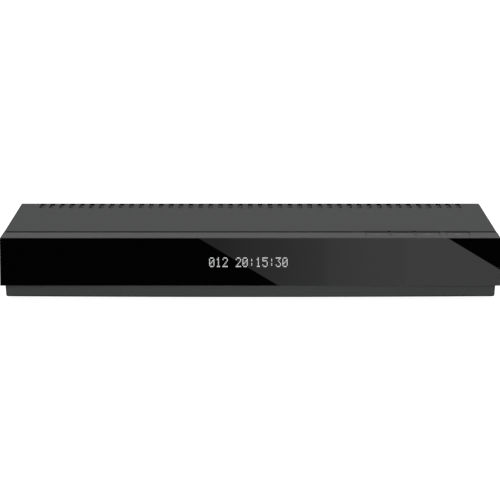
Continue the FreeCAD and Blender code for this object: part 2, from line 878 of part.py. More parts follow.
def front_bezel():
    bezel = fuse(bezel_shell(), *bezel_tongues(), *bezel_posts())
    half_key = key_width / 2 + key_gap
    cuts = [box(x - half_key, x + half_key, y_key_front - key_gap, y_seam, z_rim, z_deck + over)
            for x in key_places()]
    cuts.append(display_room(y_wall - over, y_wall + bezel_wall + over, 0))
    cuts.append(drill(lens_radius + lens_play, at(receiver_x, y_wall, z_display), Y, 2 * bezel_wall))
    cuts.append(drill(light_radius + light_play, at(light_x, y_wall, z_display), Y, 2 * bezel_wall))
    pilot = small_screw_length - board_thickness + thread_play
    for x, z in boss_places():
        cuts.append(rod(pilot_radius, at(x, y_front_board - pilot, z), Y, pilot + over))
    for x, y in hanger_places():
        cuts.append(rod(pilot_radius, at(x, y, z_key_board - over), Z, pilot + over))
    for x, y in tongue_screw_places():
        cuts.append(drill(screw_radius + thread_play, at(x, y, z_floor), Z, 2 * tongue_wall))
    return bezel.cut(cuts)


def front_window():
    """Black panel over the whole front, in front of the deck. Its upper corners follow the deck's."""
    y1 = y_face + window_thickness
    pane = box(-half_case, half_case, y_face, y1, z_slab + window_relief, z_window)
    pane = pane.makeFillet(deck_edge, long_edges(pane, Y, lambda p: p.z > z_display))
    return pane.makeChamfer(window_edge, edges_where(pane, lambda p: near(p.y, y_face)))


def window_tape():
    """Adhesive frame between the window and the bezel's front wall."""
    y0 = y_face + window_thickness
    y1 = y_wall

    def sheet(inset):
        return box(-half_case + inset, half_case - inset, y0, y1, z_slab + inset, z_window - inset)
    return sheet(bezel_wall / 2).cut(sheet(tape_width))


def keys():
    """Cap, flange under the deck, post and the plunger of the switch below, as one moulding each."""
    made = []
    z_skirt = z_rim - key_rim_thickness
    for x in key_places():
        cap = block(x, y_key, z_skirt, key_width, key_depth, z_deck - z_skirt)
        cap = cap.makeFillet(key_corner, long_edges(cap, Z))
        cap = cap.makeFillet(key_edge, edges_where(cap, lambda p: near(p.z, z_deck)))
        flange = block(x, y_key, z_skirt, key_width, key_depth + 2 * key_rim, key_rim_thickness)
        post = rod(key_post_radius, at(x, y_key, z_plunger), Z, z_rim - z_plunger)
        z_low = z_key_board + switch_height - plunger_sunk
        plunger = rod(plunger_radius, at(x, y_key, z_low), Z, z_plunger - z_low)
        made.append(fuse(cap, flange, post, plunger))
    return made


def key_switches():
    """Switch bodies with the bores that the plungers move in."""
    bodies = []
    z_bore = z_key_board + switch_height - plunger_sunk - plunger_room
    for x in key_places():
        body = block(x, y_key, z_key_board, switch_size, switch_size, switch_height)
        bodies.append(body.cut(rod(plunger_radius + plunger_gap, at(x, y_key, z_bore), Z, switch_height)))
    return bodies


def key_board():
    y0 = y_seam - key_board_depth
    board = box(x_key_row - half_key_board, x_key_row + half_key_board, y0, y_seam,
                z_key_board - board_thickness, z_key_board)
    return board.cut([drill(small_screw_radius + screw_play, at(x, y, z_key_board), Z, 2 * board_thickness)
                      for x, y in hanger_places()])


def front_board():
    board = box(front_board_left, x_front_board_end, y_front_board, y_front_board_back,
                z_front_board, z_front_board_top)
    return board.cut([drill(small_screw_radius + screw_play, at(x, y_front_board, z), Y, 2 * board_thickness)
                      for x, z in boss_places()])


def small_screws():
    """Hold the front board and the key board to the bezel."""
    screws = [small_screw(at(x, y_front_board_back, z), Y) for x, z in boss_places()]
    return screws + [small_screw(at(x, y, z_key_board - board_thickness), -Z) for x, y in hanger_places()]


def display_room(y0, y1, grown):
    """A block round the display between two depths, grown on each side."""
    return box(display_x - display_width / 2 - grown, display_x + display_width / 2 + grown, y0, y1,
               z_display - display_height / 2 - grown, z_display + display_height / 2 + grown)


def display_frame():
    """Holder that stands on the front board round the display."""
    y0 = y_wall + bezel_wall + display_frame_front
    outside = display_room(y0, y_front_board, display_play + display_frame_rim)
    return outside.cut(display_room(y0 - over, y_front_board - display_frame_back, display_play))


def display_glass():
    y1 = y_front_board - display_frame_back
    return display_room(y1 - display_thickness, y1, 0)


def infrared_receiver():
    y0 = y_front_board - receiver_depth
    body = block(receiver_x, y0 + receiver_depth / 2, z_display - receiver_height / 2,
                 receiver_width, receiver_depth, receiver_height)
    lens = Part.makeSphere(lens_radius, at(receiver_x, y0, z_display), -Y, 0, 90)
    return fuse(body, lens)


def standby_lamp():
    return block(light_x, y_front_board - lamp_depth / 2, z_display - lamp_height / 2,
                 lamp_height, lamp_depth, lamp_height)


def light_pipe():
    """Clear pin that carries the lamp's light to the window, held by a collar behind the bezel's wall."""
    y0 = y_wall + light_gap
    y1 = y_front_board - lamp_depth - light_gap
    pin = rod(light_radius, at(light_x, y0, z_display), Y, y1 - y0)
    collar = rod(light_radius + light_collar, at(light_x, y_wall + bezel_wall, z_display), Y,
                 light_collar_thickness)
    return fuse(pin, collar)


def ribbon_levels():
    """Height of the flat cable over the main board, its depth behind the front board, and its top."""
    return z_parts + ribbon_rise, y_front_board_back + ribbon_rise, z_deck - ribbon_drop


def ribbon_sockets():
    z, y, z_end = ribbon_levels()
    low = block(ribbon_x, y_face + ribbon_socket_y, z_parts, ribbon_socket_width, ribbon_socket_depth,
                ribbon_socket_height)
    high = block(ribbon_x, y_front_board_back + ribbon_socket_height / 2, z_end, ribbon_socket_width,
                 ribbon_socket_height, ribbon_socket_depth)
    return [low, high]


def flat_cable():
    """From the socket on the main board forward and up to the socket on the front board."""
    z, y, z_end = ribbon_levels()
    y_end = y_face + ribbon_socket_y - ribbon_socket_depth / 2
    x = ribbon_x - ribbon_width / 2
    bend = Part.makeCylinder(ribbon_bend + ribbon_thickness / 2, ribbon_width,
                             at(x, y + ribbon_bend, z + ribbon_bend), X)
    hollow = Part.makeCylinder(ribbon_bend - ribbon_thickness / 2, ribbon_width,
                               at(x, y + ribbon_bend, z + ribbon_bend), X)
    quarter = box(x, x + ribbon_width, y - ribbon_bend, y + ribbon_bend, z - ribbon_bend, z + ribbon_bend)
    half = ribbon_thickness / 2
    level = box(x, x + ribbon_width, y + ribbon_bend, y_end, z - half, z + half)
    upright = box(x, x + ribbon_width, y - half, y + half, z + ribbon_bend, z_end)
    return fuse(bend.cut(hollow).common(quarter), level, upright)


# ---------------------------------------------------------------- main board

def main_board():
    board = box(-half_board, half_board, y_board_front, y_board_back, z_board, z_parts)
    return board.cut([drill(screw_radius + screw_play, at(x, y, z_board), Z, 2 * board_thickness)
                      for x, y in standoff_places()])


def board_standoffs():
    posts = []
    for x, y in standoff_places():
        post = rod(standoff_radius, at(x, y, z_floor), Z, standoff_height)
        posts.append(post.cut(drill(screw_radius + thread_play, at(x, y, z_floor), Z, 2 * standoff_height)))
    return posts


def board_screws():
    return [machine_screw(at(x, y, z_parts), Z) for x, y in standoff_places()]


def chips():
    """The processor under the heat sink and a row of memory chips."""
    x = chip_x + sink_size / 2 + memory_gap + memory_length / 2
    memory = [block(x, y, z_parts, memory_length, memory_width, memory_height)
              for y in row(memory_count, memory_pitch, y_face + chip_y)]
    return [block(chip_x, y_face + chip_y, z_parts, chip_size, chip_size, chip_height)] + memory


def heat_sink():
    z = z_parts + chip_height
    base = block(chip_x, y_face + chip_y, z, sink_size, sink_size, sink_base)
    pitch = (sink_size - sink_fin) / (sink_fins - 1)
    fins = [block(x, y_face + chip_y, z, sink_fin, sink_size, sink_height)
            for x in row(sink_fins, pitch, chip_x)]
    return fuse(base, *fins)


def filter_capacitors():
    made = []
    for y in row(can_count, can_pitch, y_face + can_y):
        can = rod(can_radius, at(x_cans, y, z_parts), Z, can_height)
        top = edges_where(can, lambda p: near(p.z, z_parts + can_height))
        made.append(can.makeFillet(can_edge, top))
    return made


def choke_coils():
    made = []
    for y in row(choke_count, choke_pitch, y_face + choke_y):
        coil = block(x_chokes, y, z_parts, choke_size, choke_size, choke_height)
        made.append(coil.makeChamfer(choke_edge, long_edges(coil, Z)))
    return made


# ---------------------------------------------------------------- card bay

def cage_inside(x0, x1):
    half = half_cage - cage_sheet
    return box(x0, x1, y_card - half, y_card + half, z_cage + cage_sheet, z_cage_top - cage_sheet)


def tab_sweep():
    """The cage's roof slot round the path of the lever's tab."""
    push = eject_travel * card_arm / rod_arm
    y = y_lever - card_arm
    x0 = x_lever - tab_thickness / 2 - tab_play
    x1 = x_lever + tab_thickness / 2 + push + tab_play
    return box(x0, x1, y - tab_width / 2 - tab_play, y + tab_width / 2 + 2 * tab_play + tab_thickness,
               z_cage_top - cage_sheet - over, z_cage_top + over)


def card_cage():
    """Sheet tube for the access module, on four lapped legs."""
    tube = box(x_cage_end, x_cage_mouth, y_card - half_cage, y_card + half_cage, z_cage, z_cage_top)
    tube = tube.cut([cage_inside(x_cage_end - over, x_cage_mouth + over), tab_sweep()])
    legs = []
    for side in (-1, 1):
        y0 = y_card + min(side * half_cage, side * (half_cage + cage_sheet))
        for x in (x_cage_end, half_board - reader_inset - cage_leg):
            legs.append(box(x, x + cage_leg, y0, y0 + cage_sheet, z_parts, z_cage + cage_leg_lap))
    return fuse(tube, *legs)


def card_header():
    """Pin header at the inner end of the cage."""
    block_room = cage_inside(x_cage_end, x_cage_end + header_depth)
    z_mid = (z_cage + z_cage_top) / 2
    x0 = x_cage_end + header_depth
    pins = []
    for y in row(header_pin_count, header_pin_pitch, y_card):
        for z in (z_mid - header_row_offset, z_mid + header_row_offset):
            pins.append(box(x0, x0 + header_pin_length, y - header_pin / 2, y + header_pin / 2,
                            z - header_pin / 2, z + header_pin / 2))
    return fuse(block_room, *pins)


def chip_slot(x0, x1, grown):
    """A cutter for the chip card's slot, grown above and below."""
    half = chip_card_width / 2
    return box(x0, x1, y_card - half, y_card + half, z_reader_slot - chip_card_slot / 2 - grown,
               z_reader_slot + chip_card_slot / 2 + grown)


def smart_card_reader():
    body = box(x_reader - reader_length, x_reader, y_card - reader_width / 2, y_card + reader_width / 2,
               z_parts, z_parts + reader_height)
    return body.cut(chip_slot(x_reader - reader_slot_depth, x_reader + over, 0))


def card_bay_frame():
    """Moulded frame in the case's right side, with a rim behind the tray's side."""
    x1 = half_case - bay_flush
    z0, z1 = z_bay - bay_height / 2, z_bay + bay_height / 2
    body = box(x_cage_mouth, x1, y_bay_front, y_bay_back, z0, z1)
    x_rim = half_tray_top - tray_sheet - fit_gap
    rim = box(x_rim - bay_rim_thickness, x_rim, y_bay_front - bay_rim, y_bay_back + bay_rim,
              z_slab + fit_gap, z1 + bay_rim)
    cuts = [cage_inside(x_cage_mouth - over, x1 + over), chip_slot(x_cage_mouth - over, x1 + over, card_play)]
    cuts.append(block(x1, y_rod, z_rod - button_height / 2 - button_gap, 2 * (bay_depth + over),
                      button_width + 2 * button_gap, button_height + 2 * button_gap))
    return fuse(body, rim).cut(cuts)


def eject_rod():
    """Button, rod and the pin that turns the lever."""
    x1 = half_case - bay_flush
    button = block(x1 - button_length / 2, y_rod, z_rod - button_height / 2, button_length, button_width,
                   button_height)
    button = button.makeChamfer(button_edge, edges_where(button, lambda p: near(p.x, x1)))
    x0 = x_lever - rod_width / 2
    bar = box(x0, x1 - button_length, y_rod - rod_width / 2, y_rod + rod_width / 2,
              z_rod - rod_height / 2, z_rod + rod_height / 2)
    z_pin = z_rod + rod_height / 2
    pin = rod(rod_pin_radius, at(x_lever, y_rod, z_pin), Z, z_lever + lever_thickness + lever_gap - z_pin)
    return fuse(button, bar, pin)


def rod_guides():
    """Channels on the main board that the rod slides in."""
    guides = []
    half = rod_width / 2 + guide_gap
    for share in guide_places:
        x = x_cage_end + cage_length * share
        body = block(x, y_rod, z_parts, guide_length, 2 * (half + guide_wall),
                     z_rod + rod_height / 2 + guide_cover - z_parts)
        channel = block(x, y_rod, z_rod - rod_height / 2 - guide_gap, guide_length + over, 2 * half,
                        rod_height + guide_cover + over)
        guides.append(body.cut(channel))
    return guides


def eject_lever():
    """Bar on a rivet over the cage: slotted for the rod's pin at one end, a tab for the card at the other."""
    reach = rod_arm + rod_pin_radius + 2 * rod_pin_gap + lever_end
    tip = card_arm + tab_width / 2
    bar = box(x_lever - lever_width / 2, x_lever + lever_width / 2, y_lever - tip, y_lever + reach,
              z_lever, z_lever + lever_thickness)
    bar = bar.makeFillet(lever_corner, long_edges(bar, Z))
    tab = block(x_lever, y_lever - card_arm, z_lever - tab_drop, tab_thickness, tab_width, tab_drop)
    hole = drill(lever_pin_radius + lever_pin_gap, at(x_lever, y_lever, z_lever), Z, 2 * lever_thickness)
    slot_width = 2 * (rod_pin_radius + rod_pin_gap)
    slot = round_slot(x_lever, y_rod + rod_pin_gap, slot_width, slot_width + 2 * rod_pin_gap,
                      z_lever - over, z_lever + lever_thickness + over)
    return fuse(bar, tab).cut([hole, slot])


def lever_rivet():
    pin_height = lever_gap + lever_thickness + rivet_gap
    pin = rod(lever_pin_radius, at(x_lever, y_lever, z_cage_top), Z, pin_height)
    head = rod(lever_pin_radius + rivet_head, at(x_lever, y_lever, z_cage_top + pin_height), Z,
               rivet_head_thickness)
    return fuse(pin, head)


# ---------------------------------------------------------------- sockets

def socket_block(x, z, width, height, depth):
    """A socket's body that stands on z, its face just proud of the rear panel."""
    return box(x - width / 2, x + width / 2, y_socket - depth, y_socket, z, z + height)


def mouth(x, z, width, height, depth, face=None):
    """A cutter into a socket's face, centred on x and z."""
    y = y_socket if face is None else face
    return box(x - width / 2, x + width / 2, y - depth, y + over, z - height / 2, z + height / 2)


def tuner_can():
    can = box(x_tuner - tuner_width / 2, x_tuner + tuner_width / 2, y_jack - tuner_depth, y_jack,
              z_parts, z_parts + tuner_height)
    return can.makeFillet(tuner_corner, long_edges(can, Z))


def relief_groove(x, z, radius, y):
    """A ring cutter that ends a socket's free outer wall, just outside a face at y."""
    start = at(x, y + relief_gap, z)
    return rod(radius + over, start, Y, relief_width).cut(rod(radius - relief_depth, start, Y, relief_width))


def aerial_sockets():
    y1 = y_back + socket_reach
    made = []
    for x in aerial_places():
        barrel = rod(aerial_radius, at(x, y_jack, z_aerial), Y, y1 - y_jack)
        barrel = barrel.makeChamfer(aerial_edge, edges_where(barrel, lambda p: near(p.y, y1)))
        core = rod(aerial_core_radius, at(x, y1 - aerial_core_depth, z_aerial), Y, aerial_core_depth + over)
        groove = relief_groove(x, z_aerial, aerial_radius, y_panel_out + nut_thickness)
        made.append(barrel.cut([core, groove]))
    return made


def aerial_inserts():
    """White insulators with the contact hole for the cable's core."""
    y0 = y_back + socket_reach - aerial_core_depth
    length = aerial_core_depth - aerial_core_recess
    made = []
    for x in aerial_places():
        core = rod(aerial_core_radius - insert_gap, at(x, y0, z_aerial), Y, length)
        y_hole = y0 + length - aerial_hole_depth
        made.append(core.cut(rod(aerial_hole_radius, at(x, y_hole, z_aerial), Y, length)))
    return made


def aerial_nuts():
    """Hexagonal nuts on the panel's outside."""
    nuts = []
    turns = [FreeCAD.Rotation(Y, 30 + 60 * i) for i in range(6)]
    for x in aerial_places():
        middle = at(x, y_panel_out, z_aerial)
        nut = prism([middle + turn.multVec(X * nut_flats / 3 ** 0.5) for turn in turns], Y * nut_thickness)
        nuts.append(nut.cut(drill(aerial_radius + nut_gap, middle, Y, 2 * nut_thickness)))
    return nuts


def video_outline(inset, y):
    """Section of the video socket, its lower corners cut off."""
    w = video_width / 2 - inset
    z0, z1 = z_parts + inset, z_parts + video_height - inset
    c = video_chamfer
    points = [(-w, z1), (-w, z0 + c), (-w + c, z0), (w - c, z0), (w, z0 + c), (w, z1)]
    return [at(x_video + x, y, z) for x, z in points]


def video_socket():
    y0 = y_socket - video_depth
    shell = prism(video_outline(0, y0), Y * video_depth)
    return shell.cut(prism(video_outline(video_sheet, y0 + video_sheet), Y * video_depth))


def video_tongue():
    y0 = y_socket - video_depth + video_sheet
    back = prism(video_outline(video_sheet + insert_gap, y0), Y * video_back)
    tongue = box(x_video - video_tongue_width / 2, x_video + video_tongue_width / 2, y0,
                 y0 + video_back + video_tongue_length, z_parts + video_height / 2,
                 z_parts + video_height / 2 + video_tongue_height)
    return fuse(back, tongue)


def network_socket():
    z_mouth = z_parts + network_floor + network_tab_height + network_mouth_height / 2
    body = socket_block(x_network, z_parts, network_width, network_height, network_depth)
    z_tab = z_mouth - network_tab_height / 2
    tall = network_mouth_height + network_tab_height
    return body.cut([mouth(x_network, z_mouth, network_mouth, network_mouth_height, network_mouth_depth),
                     mouth(x_network, z_tab, network_tab_width, tall, network_mouth_depth)])


def network_contacts_comb():
    """Sprung wires under the mouth's roof, from the mouth's end towards the face."""
    z1 = z_parts + network_floor + network_tab_height + network_mouth_height
    y0 = y_socket - network_mouth_depth
    wires = []
    for x in row(network_contacts, network_contact_pitch, x_network):
        half = network_contact_width / 2
        points = [at(x - half, y0, z1), at(x - half, y0 + network_contact_length, z1),
                  at(x - half, y0, z1 - network_contact_drop)]
        wires.append(prism(points, X * network_contact_width))
    return wires


def bus_mouth_places():
    return [z_parts + bus_height / 2 + s * bus_height / 4 for s in (-1, 1)]


def bus_socket():
    body = socket_block(x_bus, z_parts, bus_width, bus_height, bus_depth)
    width = bus_width - 2 * bus_sheet
    return body.cut([mouth(x_bus, z, width, bus_mouth_height, bus_mouth_depth) for z in bus_mouth_places()])


def bus_tongues():
    y0 = y_socket - bus_mouth_depth
    tongues = []
    for z in bus_mouth_places():
        width = bus_width - 2 * bus_sheet - 2 * insert_gap
        back = block(x_bus, y0 + bus_back / 2, z - bus_mouth_height / 2 + insert_gap, width, bus_back,
                     bus_mouth_height - 2 * insert_gap)
        tongue = block(x_bus, y0 + bus_tongue_length / 2, z, bus_tongue_width, bus_tongue_length,
                       bus_tongue_height)
        tongues.append(fuse(back, tongue))
    return tongues


def audio_block():
    half = audio_block_width / 2
    body = box(x_audio - half, x_audio + half, y_jack - audio_block_depth, y_jack, z_parts,
               z_parts + audio_block_height)
    return body.makeChamfer(audio_block_edge, long_edges(body, Z, lambda p: p.y < y_jack - over))


def audio_rings():
    length = y_panel_out + audio_ring_reach - y_jack
    rings = []
    for x in audio_places():
        ring = rod(audio_ring_radius, at(x, y_jack, z_audio), Y, length)
        rings.append(ring.cut(drill(audio_sleeve_radius + insert_gap, at(x, y_jack, z_audio), Y, 2 * length)))
    return rings


def audio_sleeves():
    length = y_panel_out + audio_reach - y_jack
    sleeves = []
    for x in audio_places():
        sleeve = rod(audio_sleeve_radius, at(x, y_jack, z_audio), Y, length)
        sleeve = sleeve.makeChamfer(audio_edge, edges_where(sleeve, lambda p: near(p.y, y_jack + length)))
        bore = rod(audio_core_radius, at(x, y_jack + length - audio_bore_depth, z_audio), Y, length)
        groove = relief_groove(x, z_audio, audio_sleeve_radius, y_panel_out + audio_ring_reach)
        sleeves.append(sleeve.cut([bore, groove]))
    return sleeves


def audio_cores():
    """Insulators inside the sleeves, with the plug's bore."""
    y0 = y_panel_out + audio_reach - audio_bore_depth
    cores = []
    for x in audio_places():
        core = rod(audio_core_radius - insert_gap, at(x, y0, z_audio), Y, audio_bore_depth)
        bore = rod(audio_bore_radius, at(x, y0 + audio_core_floor, z_audio), Y, audio_bore_depth)
        cores.append(core.cut(bore))
    return cores


def optical_levels():
    """Middle height of the optical socket's mouth, its cavity's roof and the face behind its lip."""
    z_mid = z_parts + optical_height / 2
    return z_mid, z_mid + optical_cavity / 2, y_socket - optical_lip


def shutter_axis():
    z_mid, z_roof, y_lip = optical_levels()
    return y_lip - shutter_gap - shutter_thickness / 2, z_roof - shutter_pin_drop


def optical_socket():
    z_mid, z_roof, y_lip = optical_levels()
    body = socket_block(x_optical, z_parts, optical_width, optical_height, optical_depth)
    y_pin, z_pin = shutter_axis()
    bore = optical_cavity + 2 * (shutter_pin_stub + thread_play)
    cuts = [mouth(x_optical, z_mid, optical_mouth, optical_mouth, optical_depth / 2),
            box(x_optical - optical_cavity / 2, x_optical + optical_cavity / 2,
                y_lip - optical_cavity_depth, y_lip, z_mid - optical_cavity / 2, z_roof),
            rod(shutter_pin_radius + shutter_pin_gap, at(x_optical - bore / 2, y_pin, z_pin), X, bore)]
    y_end = y_lip - optical_cavity_depth
    emitter = rod(optical_emitter_radius, at(x_optical, y_end - over, z_mid), Y,
                  optical_emitter_height + over)
    return fuse(body.cut(cuts), emitter)


def optical_shutter():
    """Sprung door behind the optical socket's lip, on two pins at its head."""
    y_pin, z_pin = shutter_axis()
    z_mid, z_roof, y_lip = optical_levels()
    width = optical_cavity - 2 * shutter_gap
    z0 = z_mid - optical_cavity / 2 + shutter_gap
    door = block(x_optical, y_pin, z0, width, shutter_thickness, z_pin - z0)
    length = optical_cavity + 2 * shutter_pin_stub
    head = rod(shutter_head_radius, at(x_optical - width / 2, y_pin, z_pin), X, width)
    pins = rod(shutter_pin_radius, at(x_optical - length / 2, y_pin, z_pin), X, length)
    return fuse(door, head, pins)


def scart_outline(width, height, corner, y):
    """Rectangle with one corner cut off, centred on the socket."""
    z = z_parts + scart_height / 2
    w, h = width / 2, height / 2
    points = [(-w, -h), (w, -h), (w, h - corner), (w - corner, h), (-w, h)]
    return [at(x_scart + x, y, z + dz) for x, dz in points]


def scart_socket():
    body = socket_block(x_scart, z_parts, scart_width, scart_height, scart_depth)
    flange = box(x_scart - scart_width / 2 - scart_flange, x_scart + scart_width / 2 + scart_flange,
                 y_panel_out, y_panel_out + scart_flange_thickness,
                 z_parts - scart_flange, z_parts + scart_height + scart_flange)
    y_end = y_panel_out + scart_flange_thickness
    y0 = y_end - scart_groove_depth
    length = scart_groove_depth + over
    outer = prism(scart_outline(scart_block_width + 2 * scart_groove, scart_block_height + 2 * scart_groove,
                                scart_corner, y0), Y * length)
    island = prism(scart_outline(scart_block_width, scart_block_height, scart_corner - scart_groove / 2, y0),
                   Y * length)
    z = z_parts + scart_height / 2
    slots = []
    for s in (-1, 1):
        for x in row(scart_pin_count, scart_pin_pitch, x_scart + s * scart_pin_pitch / 4 - scart_shift):
            slots.append(mouth(x, z + s * scart_row_offset, scart_pin_slot, scart_pin_length,
                               scart_groove_depth, y_end))
    return fuse(body, flange).cut([outer.cut(island)] + slots)


def rocker_housing():
    """Switch body with a flange on the rear panel and a hollow for the rocker."""
    z0 = z_rocker - rocker_body_height / 2
    body = box(x_switch - rocker_body_width / 2, x_switch + rocker_body_width / 2,
               y_panel_out - rocker_body_depth, y_panel_out, z0, z0 + rocker_body_height)
    half = rocker_flange_width / 2
    flange = box(x_switch - half, x_switch + half, y_panel_out, y_rocker_face,
                 z0 - rocker_flange, z0 + rocker_body_height + rocker_flange)
    width = rocker_length + 2 * rocker_end_gap
    height = rocker_width + 2 * rocker_gap
    depth = y_rocker_face - y_rocker_pin + rocker_thickness / 2 + rocker_room
    hollow = mouth(x_switch, z_rocker, width, height, depth, y_rocker_face)
    bore = drill(rocker_pin_radius + rocker_pin_gap, at(x_switch, y_rocker_pin, z_rocker), Z,
                 height + 2 * (rocker_pin_stub + thread_play - over))
    return fuse(body, flange).cut([hollow, bore])


def power_rocker():
    """Rocker with two faces and pins at its middle, drawn at one end of its tilt."""
    half = rocker_length / 2
    y0 = y_rocker_pin - rocker_thickness / 2
    y1 = y_rocker_pin + rocker_thickness / 2
    points = [(-half, y0 + rocker_relief), (0, y0), (half, y0 + rocker_relief), (half, y1 + rocker_rise),
              (0, y1), (-half, y1 + rocker_rise)]
    z0 = z_rocker - rocker_width / 2
    body = prism([at(x_switch + x, y, z0) for x, y in points], Z * rocker_width)
    length = rocker_width + 2 * (rocker_gap + rocker_pin_stub)
    pins = rod(rocker_pin_radius, at(x_switch, y_rocker_pin, z_rocker - length / 2), Z, length)
    whole = fuse(body, pins)
    whole.rotate(at(x_switch, y_rocker_pin, z_rocker), Z, rocker_tilt)
    return whole


def power_inlet():
    body = socket_block(x_inlet, z_parts, inlet_width, inlet_height, inlet_depth)
    z = z_parts + inlet_height / 2
    return body.cut(rod(inlet_bore_radius, at(x_inlet, y_socket - inlet_bore_depth, z), Y, inlet_depth))


def power_inlet_pin():
    z = z_parts + inlet_height / 2
    length = inlet_bore_depth - inlet_pin_short
    pin = rod(inlet_pin_radius, at(x_inlet, y_socket - inlet_bore_depth, z), Y, length)
    return pin.makeFillet(inlet_pin_radius * head_rounding,
                          edges_where(pin, lambda p: near(p.y, y_socket - inlet_pin_short)))


# ---------------------------------------------------------------- all pieces

def pieces():
    """Node name to one solid or a list of like solids."""
    made = {
        "top_cover": top_cover(),
        "base_tray": base_tray(),
        "rear_panel": rear_panel(),
        "rubber_feet": rubber_feet(),
        "case_screws": case_screws(),
        "underside_screws": underside_screws(),
        "front_bezel": front_bezel(),
        "front_window": front_window(),
        "window_tape": window_tape(),
        "key_switches": key_switches(),
        "key_board": key_board(),
        "front_board": front_board(),
        "small_screws": small_screws(),
        "display_frame": display_frame(),
        "display_glass": display_glass(),
        "infrared_receiver": infrared_receiver(),
        "standby_lamp": standby_lamp(),
        "light_pipe": light_pipe(),
        "ribbon_sockets": ribbon_sockets(),
        "flat_cable": flat_cable(),
        "main_board": main_board(),
        "board_standoffs": board_standoffs(),
        "board_screws": board_screws(),
        "chips": chips(),
        "heat_sink": heat_sink(),
        "filter_capacitors": filter_capacitors(),
        "choke_coils": choke_coils(),
        "card_cage": card_cage(),
        "card_header": card_header(),
        "smart_card_reader": smart_card_reader(),
        "card_bay_frame": card_bay_frame(),
        "eject_rod": eject_rod(),
        "rod_guides": rod_guides(),
        "eject_lever": eject_lever(),
        "lever_rivet": lever_rivet(),
        "tuner_can": tuner_can(),
        "aerial_sockets": aerial_sockets(),
        "aerial_inserts": aerial_inserts(),
        "aerial_nuts": aerial_nuts(),
        "video_socket": video_socket(),
        "video_tongue": video_tongue(),
        "network_socket": network_socket(),
        "network_contacts": network_contacts_comb(),
        "bus_socket": bus_socket(),
        "bus_tongues": bus_tongues(),
        "audio_block": audio_block(),
        "audio_rings": audio_rings(),
        "audio_sleeves": audio_sleeves(),
        "audio_cores": audio_cores(),
        "optical_socket": optical_socket(),
        "optical_shutter": optical_shutter(),
        "scart_socket": scart_socket(),
        "rocker_housing": rocker_housing(),
        "power_rocker": power_rocker(),
        "power_inlet": power_inlet(),
        "power_inlet_pin": power_inlet_pin(),
    }
    made.update(zip(key_names, keys()))
    return made


def export(shapes):
    os.makedirs("parts", exist_ok=True)
    for name, shape in shapes.items():
        solid = Part.makeCompound(shape) if isinstance(shape, list) else shape
        solid.exportStep("parts/" + name + ".step")


export(pieces())
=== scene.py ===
"""Looks of a compact satellite receiver: finishes for its solids, the display's digits, key and rocker
marks, socket threads and contacts, and a plain studio stage. Lengths are in metres."""

import json
import math

import bmesh
import bpy
from bpy.props import FloatProperty, FloatVectorProperty, PointerProperty, StringProperty
from bpy.types import Operator, Panel, PropertyGroup
from mathutils import Matrix, Vector


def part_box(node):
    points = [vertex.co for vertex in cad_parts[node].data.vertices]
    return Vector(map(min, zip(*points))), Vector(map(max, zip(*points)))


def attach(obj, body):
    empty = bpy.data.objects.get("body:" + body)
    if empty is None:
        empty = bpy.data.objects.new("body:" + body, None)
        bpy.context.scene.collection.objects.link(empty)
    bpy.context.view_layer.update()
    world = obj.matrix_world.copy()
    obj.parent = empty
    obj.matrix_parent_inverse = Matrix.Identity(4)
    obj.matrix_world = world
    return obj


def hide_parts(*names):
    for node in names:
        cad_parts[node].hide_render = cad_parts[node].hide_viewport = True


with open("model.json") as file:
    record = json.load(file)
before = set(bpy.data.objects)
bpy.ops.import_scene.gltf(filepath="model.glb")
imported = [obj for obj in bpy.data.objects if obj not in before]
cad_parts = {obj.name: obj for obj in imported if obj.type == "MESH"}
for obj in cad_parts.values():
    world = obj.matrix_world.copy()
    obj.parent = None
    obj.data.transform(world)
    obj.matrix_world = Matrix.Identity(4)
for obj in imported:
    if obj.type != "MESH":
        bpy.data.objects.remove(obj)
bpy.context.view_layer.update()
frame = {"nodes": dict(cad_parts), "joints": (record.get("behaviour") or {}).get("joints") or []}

bl_info = {
    "name": "Satellite receiver",
    "version": (1, 0, 0),
    "blender": (4, 5, 0),
    "location": "View3D > Sidebar > Receiver",
    "description": "Finishes, small parts and stage of a compact satellite receiver",
    "category": "Object",
}

MM = 0.001
WHITE = (1.0, 1.0, 1.0)
NODES = frame["nodes"]


# ------------------------------------------------------------------ shader expressions

class Number:
    """A value in a material's node tree. Arithmetic on it adds Math nodes."""

    def __init__(self, nodes, socket):
        self.nodes = nodes
        self.socket = socket

    def math(self, operation, first, second=0.0):
        return self.nodes.add("ShaderNodeMath", {"operation": operation}, {0: first, 1: second})

    def __add__(self, other):
        return self.math("ADD", self, other)

    __radd__ = __add__

    def __sub__(self, other):
        return self.math("SUBTRACT", self, other)

    def __rsub__(self, other):
        return self.math("SUBTRACT", other, self)

    def __mul__(self, other):
        return self.math("MULTIPLY", self, other)

    __rmul__ = __mul__

    def __truediv__(self, other):
        return self.math("DIVIDE", self, other)

    def __rtruediv__(self, other):
        return self.math("DIVIDE", other, self)

    def __abs__(self):
        return self.math("ABSOLUTE", self)

    def fraction(self):
        return self.math("FRACT", self)

    def larger(self, other):
        return self.math("MAXIMUM", self, other)

    def smaller(self, other):
        return self.math("MINIMUM", self, other)

    def rise(self, low, high):
        """0 below low, 1 above high, smooth between. With low above high it falls instead."""
        ends = {1: low, 2: high} if low < high else {1: high, 2: low, 3: 1.0, 4: 0.0}
        return self.nodes.add("ShaderNodeMapRange", {"interpolation_type": "SMOOTHSTEP"}, {0: self, **ends})


